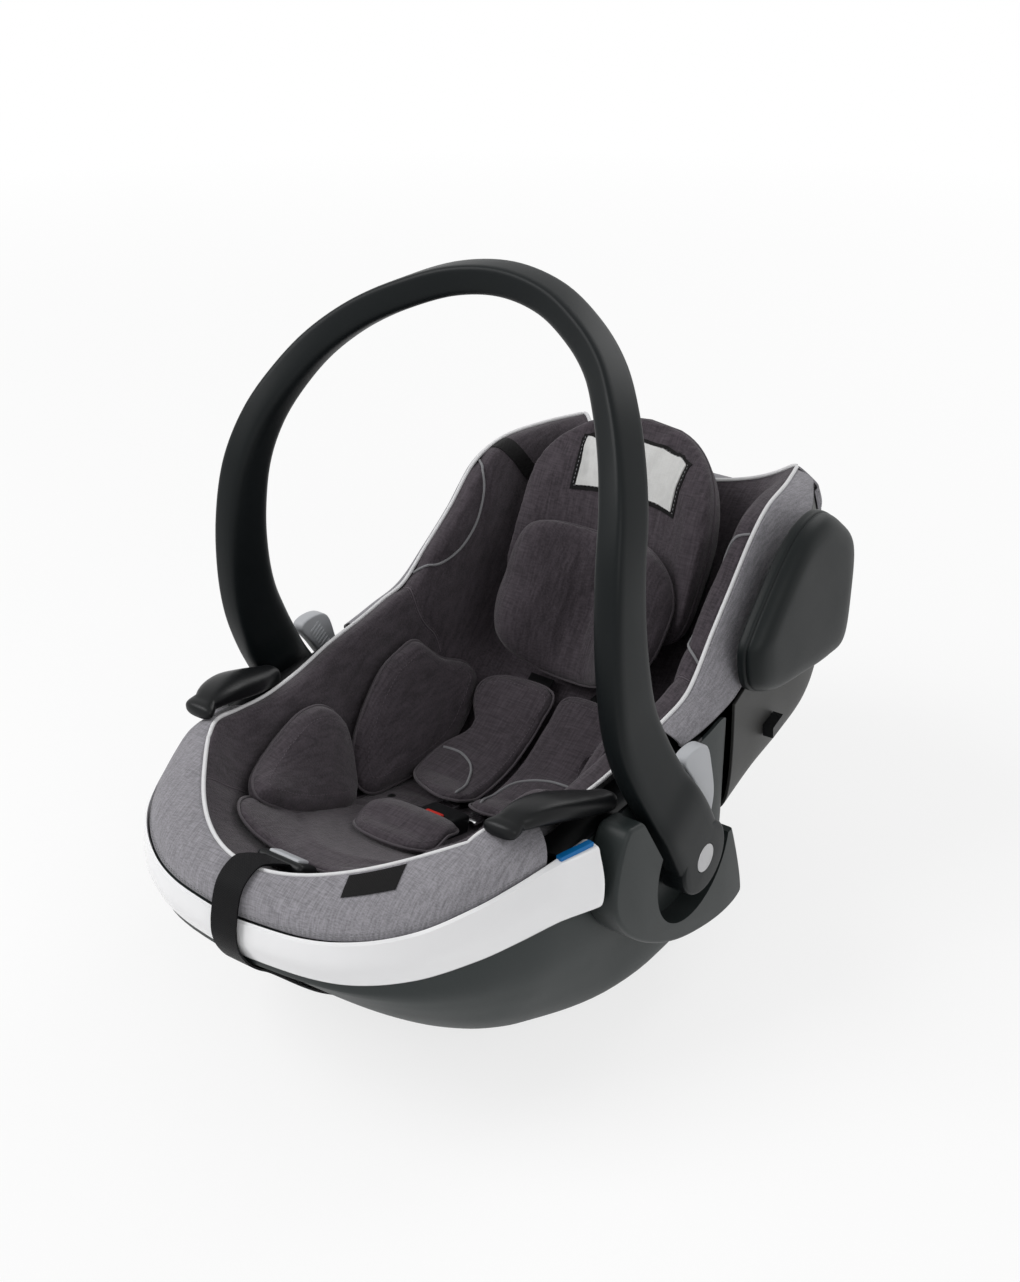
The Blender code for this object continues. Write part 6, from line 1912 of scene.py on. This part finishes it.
def make_head_flap():
    """Grey cover of the head end, from the bowl's edge over the back shell's top edge."""
    def place(u, v, lift):
        across = u * FLAP_REACH
        path = [seat_point(1.0, across)]
        for share in FLAP_SHARES:
            outer, _, _, normal = back_frame(share, across)
            path.append(outer - normal * FLAP_GAP)
        part = (v + 1) / 2
        away = (Vector((outer.x, outer.y - FLAP_CENTRE_Y, 0.0)).normalized()
                + Vector((0.0, 0.0, FLAP_TILT)))
        bulge = FLAP_BULGE * math.sin(math.pi * part) ** BULGE_POWER
        point = Vector(spline(path, part * (len(path) - 1))) + away * (bulge + lift)
        fold = ripple(point, 20.0, 17.0) * FLAP_FOLD * math.sin(math.pi * part)
        return point + away * (fold if lift > 0 else 0.0)
    piece("head_cover_fabric", sheet(120, 16, place, 0.0, FLAP_WALL), "grey")
    row = hem_row(place, FLAP_HEM_PLACE, 0.98, 200, FLAP_WALL)
    sewn_piece("head_cover_hem", [(row, [Vector((0.0, 1.0, 0.3))] * len(row))],
               "grey_piping")
    route = [(1.0, blend(-1.0, 1.0, step / 100)) for step in range(101)]
    cord_piece("head_piping", [piping_row(route)],
               bpy.context.scene.carrier_sizes.piping_radius, "piping", sides=PIPING_SIDES)


def make_wing_label():
    """Bare woven label at the left wing's piping."""
    def place(u, v, lift):
        along = blend(*WING_LABEL_SHARES[0], (v + 1) / 2)
        across = blend(*WING_LABEL_SHARES[1], (u + 1) / 2)
        return seat_lift(along, across, cover_lift(along, across) + lift)
    mesh = sheet(30, 12, place, -PATCH_LIFT, PATCH_LIFT, (0.044, 0.016))
    piece("wing_label", mesh, "label")


# Harness and adjuster

def strap_sheet(path, across, length):
    """Webbing that runs along the bowl, through (along, lift) pairs."""
    rows = len(path) - 1

    def place(u, v, lift):
        along, height = spline(path, (v + 1) / 2 * rows)
        middle = blend(*across, (v + 1) / 2)
        point, forward, _, normal = surface_frame(seat_point, along, middle)
        side = forward.cross(normal).normalized()
        edge = WEB_EDGE * (1 if abs(u) > 0.85 else 0)
        return point + normal * (height + lift + (edge if lift > 0 else 0)) + side * u * WEB_HALF
    return sheet(12, rows * 8, place, 0.0, WEB_WALL, (2 * WEB_HALF, length))


def lap_sheet(path, along_range, length):
    """Webbing that runs across the bowl, through (across, lift) pairs."""
    rows = len(path) - 1

    def place(u, v, lift):
        across, height = spline(path, (v + 1) / 2 * rows)
        along = blend(*along_range, (v + 1) / 2)
        point, forward, _, normal = surface_frame(seat_point, along, across)
        return point + normal * (height + lift) + forward * u * WEB_HALF
    return sheet(12, rows * 8, place, 0.0, WEB_WALL, (2 * WEB_HALF, length))


def make_press(place, case, button, shift=0.0):
    """Housing with a recess on a surface frame, and the button in it."""
    name, covered, size, lift, rounding = case
    body = soften(block(place, size, lift), SHELL_WALL * rounding, 5)
    housing = piece(name, body, "black", covers=(covered,))
    top = lift + size[2] / 2
    name, moving, look, size, rise = button
    room = (size[0] + 2 * GAP, size[1] + 2 * GAP, 2 * size[2])
    cut(housing, [("DIFFERENCE", block(place, room, top, shift))])
    pressed = block(place, size, top + rise - size[2] / 2, shift)
    piece(name, soften(pressed, GAP * 5, 4), look, moving, (moving,))


def make_harness():
    """Straps, buckle and tongues."""
    tongue_reach = BUCKLE_SIZE[1] / 2 + TONGUE_GAP + TONGUE_SIZE[1] / 2
    web_start = past_buckle(tongue_reach + TONGUE_SIZE[1] / 2 + SHOULDER_WEB_GAP)
    shoulder = list(zip((web_start,) + SHOULDER_WEB_SHARES, SHOULDER_WEB_LIFTS))
    lap_along = tuple(past_buckle(distance) for distance in LAP_WEB_REACHES)
    for _, side in SIDES:
        side_piece("shoulder_web", side, strap_sheet(shoulder, SHOULDER_ACROSS_SHARES, 0.2),
                   "web", covers=("shoulder_strap",))
        lap = lap_sheet(list(zip(LAP_WEB_SHARES, LAP_WEB_LIFTS)), lap_along, 0.1)
        side_piece("lap_web", side, lap, "web", covers=("lap_strap",))
        spot = surface_frame(seat_point, past_buckle(tongue_reach),
                             TONGUE_ACROSS_SHARE * side)
        tongue = soften(block(spot, TONGUE_SIZE, TONGUE_LIFT), GAP * 5, 3)
        word = "right" if side > 0 else "left"
        piece(f"tongue_plate_{word}", tongue, "tongue", covers=(f"tongue_{word}",))
    make_press(surface_frame(seat_point, BUCKLE_ALONG_SHARE, 0.0),
               ("buckle_shell", "buckle_body", BUCKLE_SIZE, BUCKLE_LIFT, 1.6),
               ("buckle_press", "buckle_button", "red", BUTTON_SIZE, BUTTON_RISE),
               BUTTON_BACK_SHARE * BUCKLE_SIZE[1])
    half = BUCKLE_SIZE[1] / 2
    end = past_buckle(-half - CROTCH_WEB_GAP)
    path = [(blend(CROTCH_WEB_SHARE, end, step / 3), CROTCH_WEB_LIFT) for step in range(4)]
    piece("crotch_web", strap_sheet(path, (0.0, 0.0), 0.04), "web", covers=("crotch_strap",))


def make_adjuster():
    """Harness adjuster at the foot end and its strap over the rim."""
    make_press(surface_frame(seat_point, ADJUSTER_ALONG_SHARE, 0.0),
               ("adjuster_frame", "adjuster_housing", ADJUSTER_SIZE, ADJUSTER_LIFT, 1.5),
               ("adjuster_press", "adjuster_button", "lever", ADJUSTER_BUTTON_SIZE,
                ADJUSTER_BUTTON_RISE))
    path = [side_place(shares) for shares in STRAP_PATH_SHARES]
    path += [(reach(share), hull_underside(reach(share)) - drop)
             for share, drop in zip(STRAP_UNDER_SHARES, STRAP_DROPS)]
    rows = len(path) - 1

    def place(u, v, lift):
        position = (v + 1) / 2 * rows
        y, z = spline(path, position)
        y0, z0 = spline(path, position - STRAP_TURN_SHARE)
        y1, z1 = spline(path, position + STRAP_TURN_SHARE)
        away = Vector((0.0, z0 - z1, y1 - y0)).normalized()
        return Vector((u * WEB_HALF, y, z)) - away * lift
    mesh = sheet(14, 150, place, 0.0, WEB_WALL, (2 * WEB_HALF, 0.2))
    piece("adjuster_web", mesh, "web", covers=("adjuster_strap",))


# Finishes of the CAD nodes that stay

KEPT_FINISHES = {
    "base_rib_left": "shell", "base_rib_right": "shell", "back_rib_left": "shell",
    "back_rib_right": "shell", "seat_liner": "foam", "headrest_shell": "shell",
    "headrest_rail": "black", "dock_bar_front": "steel", "dock_bar_rear": "steel",
    "pivot_pin_left": "steel", "pivot_pin_right": "steel", "pivot_washer_left": "black",
    "pivot_washer_right": "black", "side_guard_clip_left": "black",
    "side_guard_clip_right": "black", "belt_guide_left": "black",
    "belt_guide_right": "black",
}


def make_finishes():
    """Give every CAD node that still shows its finish."""
    for name, material in KEPT_FINISHES.items():
        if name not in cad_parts:
            raise RuntimeError(f"no CAD node {name}")
        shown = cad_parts[name]
        shown.data.materials.clear()
        shown.data.materials.append(finish(material))


# Settings that a user would change

def colour_setting(name, description, value):
    """Colour property."""
    return bpy.props.FloatVectorProperty(name=name, description=description, default=value,
                                         subtype="COLOR", size=3, min=0.0, max=1.0)


def length_setting(name, description, value):
    """Length property."""
    return bpy.props.FloatProperty(name=name, description=description, default=value,
                                   min=0.0, unit="LENGTH", subtype="DISTANCE", precision=5)


class CarrierColours(bpy.types.PropertyGroup):
    """Colours of the carrier."""
    dark_fabric: colour_setting("Dark fabric", "Linen of the bowl, pads and headrest",
                                (0.056, 0.0465, 0.0545))
    grey_fabric: colour_setting("Grey fabric", "Melange of the outer covers",
                                (0.242, 0.235, 0.254))
    piping: colour_setting("Pale piping", "Piping round the bowl", (0.72, 0.72, 0.73))
    grey_piping: colour_setting("Grey piping", "Piping of the wings' panels",
                                (0.19, 0.19, 0.20))
    handle: colour_setting("Handle", "Carrying handle", (0.0050, 0.0066, 0.0072))
    shell: colour_setting("Shell", "Rocker shell", (0.019, 0.024, 0.024))
    hub: colour_setting("Hub", "Hub housings", (0.013, 0.017, 0.017))
    rear_shell: colour_setting("Rear shell", "Back shell", (0.026, 0.026, 0.025))
    guard: colour_setting("Guard", "Side guard", (0.0055, 0.0075, 0.0078))
    black: colour_setting("Black plastic", "Hooks, buckle and adjuster",
                          (0.005, 0.0055, 0.006))
    trim: colour_setting("Trim", "White trim of the rim", (0.80, 0.80, 0.81))
    slide: colour_setting("Slides", "Blue slides beside the hubs", (0.001, 0.120, 0.340))
    lever: colour_setting("Levers", "Squeeze levers and adjuster", (0.40, 0.41, 0.43))
    button: colour_setting("Button", "Buckle's button", (0.55, 0.030, 0.022))
    webbing: colour_setting("Webbing", "Harness and adjuster strap", (0.0035, 0.0035, 0.004))
    cap: colour_setting("Cap", "Pivot caps", (0.46, 0.46, 0.47))


class CarrierSizes(bpy.types.PropertyGroup):
    """Sizes of the sewn details."""
    piping_radius: length_setting("Piping radius", "Radius of the pale piping", 0.0018)
    cord_radius: length_setting("Cord radius", "Radius of the piping in the pads", 0.0012)
    stitch_length: length_setting("Stitch length", "Length of one stitch", 0.0026)
    stitch_gap: length_setting("Stitch gap", "Space between two stitches", 0.0013)
    swell: bpy.props.FloatProperty(name="Swell", description="Pressure that fills the pads",
                                   default=4.0, min=0.0)
    swell_cap: length_setting("Swell cap", "Most that a pad's point may move", 0.006)


class CarrierStage(bpy.types.PropertyGroup):
    """Lamps and floor."""
    key_power: bpy.props.FloatProperty(name="Key lamp", description="Power of the key lamp",
                                       default=62.0, min=0.0, unit="POWER")
    fill_power: bpy.props.FloatProperty(name="Fill lamp", description="Power of the fill lamp",
                                        default=18.0, min=0.0, unit="POWER")
    ambient: bpy.props.FloatProperty(name="Ambient", description="Strength of the world's light",
                                     default=0.42, min=0.0)
    floor: colour_setting("Floor", "Colour of the floor", (0.90, 0.90, 0.90))


def aim(made, place, target):
    """Put a lamp or camera at a place, turned to a target."""
    made.location = place
    made.rotation_euler = (Vector(target) - Vector(place)).to_track_quat("-Z", "Y").to_euler()


def make_world(ambient):
    """World: white behind the object and in its reflections, soft light on it."""
    world = bpy.data.worlds.new("studio")
    world.use_nodes = True
    tree = world.node_tree
    tree.nodes.clear()
    rays = node(tree, "ShaderNodeLightPath")
    seen = calculate(tree, "MAXIMUM", rays.outputs["Is Camera Ray"],
                     rays.outputs["Is Transmission Ray"])
    seen = calculate(tree, "MAXIMUM", seen, rays.outputs["Is Glossy Ray"])
    light = node(tree, "ShaderNodeBackground", {"Strength": 1.0, "Color": (1, 1, 1, 1)})
    tree.links.new(fitted(tree, seen, 0.0, 1.0, ambient, 1.0), light.inputs["Strength"])
    out = node(tree, "ShaderNodeOutputWorld")
    tree.links.new(light.outputs["Background"], out.inputs["Surface"])
    bpy.context.scene.world = world


def make_floor(colour):
    """Wide pale floor that keeps a soft shadow."""
    mesh = bmesh.new()
    bmesh.ops.create_grid(mesh, x_segments=2, y_segments=2, size=FLOOR_HALF)
    data = mesh_data("floor", mesh)
    floor = placed("floor", data)
    material = bpy.data.materials.new("floor_pale")
    material.use_nodes = True
    tree = material.node_tree
    tree.nodes.clear()
    rays = node(tree, "ShaderNodeLightPath")
    seen = calculate(tree, "MAXIMUM", rays.outputs["Is Camera Ray"],
                     rays.outputs["Is Glossy Ray"])
    plain = node(tree, "ShaderNodeBsdfDiffuse", {"Color": (*colour, 1.0)})
    white = node(tree, "ShaderNodeEmission", {"Color": (1, 1, 1, 1), "Strength": 1.0})
    both = node(tree, "ShaderNodeMixShader")
    coordinates = node(tree, "ShaderNodeTexCoord")
    distance = node(tree, "ShaderNodeVectorMath", operation="LENGTH")
    tree.links.new(coordinates.outputs["Object"], distance.inputs[0])
    share = fitted(tree, distance.outputs["Value"], FLOOR_NEAR, FLOOR_FAR,
                   FLOOR_WHITE_SHARE, 1.0)
    tree.links.new(calculate(tree, "MULTIPLY", seen, share), both.inputs["Fac"])
    tree.links.new(plain.outputs["BSDF"], both.inputs[1])
    tree.links.new(white.outputs["Emission"], both.inputs[2])
    out = node(tree, "ShaderNodeOutputMaterial")
    tree.links.new(both.outputs["Shader"], out.inputs["Surface"])
    data.materials.append(material)


def make_stage():
    """Floor, lamps, world and camera."""
    look = bpy.context.scene.carrier_stage
    make_world(look.ambient)
    make_floor(look.floor)
    for name, power, place, size in LAMPS:
        lamp = bpy.data.lights.new(name, "AREA")
        lamp.energy = getattr(look, power)
        lamp.size = size
        aim(placed(name, lamp), place, LAMP_TARGET)
    lens = bpy.data.cameras.new("camera")
    lens.sensor_fit = "VERTICAL"
    lens.sensor_height = CAMERA_SENSOR_MM
    lens.lens = CAMERA_LENS_MM
    camera = placed("camera", lens)
    camera.location = CAMERA_PLACE
    around, above = (math.radians(angle) for angle in
                     (CAMERA_AZIMUTH_DEGREES, CAMERA_ELEVATION_DEGREES))
    back = Vector((math.sin(around) * math.cos(above), -math.cos(around) * math.cos(above),
                   math.sin(above)))
    camera.rotation_euler = (-back).to_track_quat("-Z", "Y").to_euler()
    bpy.context.scene.camera = camera
    bpy.context.scene.view_settings.view_transform = "Standard"


def build_with(*makers):
    """An operator's work: each maker in turn."""
    def execute(self, _context):
        for maker in makers:
            maker()
        return {"FINISHED"}
    return execute


class CARRIER_OT_stage(bpy.types.Operator):
    """Set up the floor, lamps, world and camera"""
    bl_idname = "carrier.stage"
    bl_label = "Stage"
    execute = build_with(make_stage)


class CARRIER_OT_shells(bpy.types.Operator):
    """Make the rocker shell, back shell, ledges and hubs"""
    bl_idname = "carrier.shells"
    bl_label = "Shells and hubs"
    execute = build_with(make_rocker, make_back_shell, make_ledges, make_hubs)


class CARRIER_OT_trim(bpy.types.Operator):
    """Make the white trim and the blue slides on it"""
    bl_idname = "carrier.trim"
    bl_label = "Trim and slides"
    execute = build_with(make_trim, make_slides)


class CARRIER_OT_handle(bpy.types.Operator):
    """Make the carrying handle with its caps and levers"""
    bl_idname = "carrier.handle"
    bl_label = "Handle"
    execute = build_with(make_handle, make_levers)


class CARRIER_OT_guard(bpy.types.Operator):
    """Make the side guard"""
    bl_idname = "carrier.guard"
    bl_label = "Side guard"
    execute = build_with(make_guard)


class CARRIER_OT_hooks(bpy.types.Operator):
    """Make the belt hooks"""
    bl_idname = "carrier.hooks"
    bl_label = "Belt hooks"
    execute = build_with(make_hooks)


class CARRIER_OT_seat_cover(bpy.types.Operator):
    """Make the bowl's dark cover with its seams and piping"""
    bl_idname = "carrier.seat_cover"
    bl_label = "Seat cover"
    execute = build_with(make_seat_cover, make_seams, make_rim_piping, make_wing_label)


class CARRIER_OT_outer_covers(bpy.types.Operator):
    """Make the grey covers outside the piping"""
    bl_idname = "carrier.outer_covers"
    bl_label = "Outer covers"
    execute = build_with(make_foot_cover, make_side_covers, make_head_flap)


class CARRIER_OT_pads(bpy.types.Operator):
    """Make the seat cushion and the pads of the newborn inlay"""
    bl_idname = "carrier.pads"
    bl_label = "Pads"
    execute = build_with(make_pads)


class CARRIER_OT_headrest(bpy.types.Operator):
    """Make the headrest's cover and pillow"""
    bl_idname = "carrier.headrest"
    bl_label = "Headrest"
    execute = build_with(make_headrest)


class CARRIER_OT_harness(bpy.types.Operator):
    """Make the harness, its buckle and tongues"""
    bl_idname = "carrier.harness"
    bl_label = "Harness"
    execute = build_with(make_harness)


class CARRIER_OT_adjuster(bpy.types.Operator):
    """Make the harness adjuster and its strap"""
    bl_idname = "carrier.adjuster"
    bl_label = "Adjuster"
    execute = build_with(make_adjuster)


class CARRIER_OT_finishes(bpy.types.Operator):
    """Give the CAD nodes that stay their finishes"""
    bl_idname = "carrier.finishes"
    bl_label = "Finishes"
    execute = build_with(make_finishes)


OPERATORS = (
    CARRIER_OT_stage, CARRIER_OT_shells, CARRIER_OT_trim, CARRIER_OT_handle,
    CARRIER_OT_guard, CARRIER_OT_hooks, CARRIER_OT_seat_cover, CARRIER_OT_outer_covers,
    CARRIER_OT_pads, CARRIER_OT_headrest, CARRIER_OT_harness, CARRIER_OT_adjuster,
    CARRIER_OT_finishes,
)
SETTINGS = (("carrier_colours", CarrierColours), ("carrier_sizes", CarrierSizes),
            ("carrier_stage", CarrierStage))


class CARRIER_PT_panel(bpy.types.Panel):
    """Steps that dress the carrier, and its settings"""
    bl_idname = "CARRIER_PT_panel"
    bl_label = "Infant carrier"
    bl_space_type = "VIEW_3D"
    bl_region_type = "UI"
    bl_category = "Carrier"

    def draw(self, context):
        """List the steps, then the settings."""
        for operator in OPERATORS:
            self.layout.operator(operator.bl_idname)
        for name, group in SETTINGS:
            box = self.layout.box()
            box.label(text=group.__doc__)
            for setting in group.__annotations__:
                box.prop(getattr(context.scene, name), setting)


def register():
    """Register the settings, operators and panel."""
    for name, group in SETTINGS:
        bpy.utils.register_class(group)
        setattr(bpy.types.Scene, name, bpy.props.PointerProperty(type=group))
    for made in OPERATORS + (CARRIER_PT_panel,):
        bpy.utils.register_class(made)


def unregister():
    """Remove them again."""
    for made in reversed(OPERATORS + (CARRIER_PT_panel,)):
        bpy.utils.unregister_class(made)
    for name, group in reversed(SETTINGS):
        delattr(bpy.types.Scene, name)
        bpy.utils.unregister_class(group)


def main():
    """Dress the carrier step by step."""
    register()
    for operator in OPERATORS:
        group, action = operator.bl_idname.split(".")
        getattr(getattr(bpy.ops, group), action)()


if __name__ == "__main__":
    main()
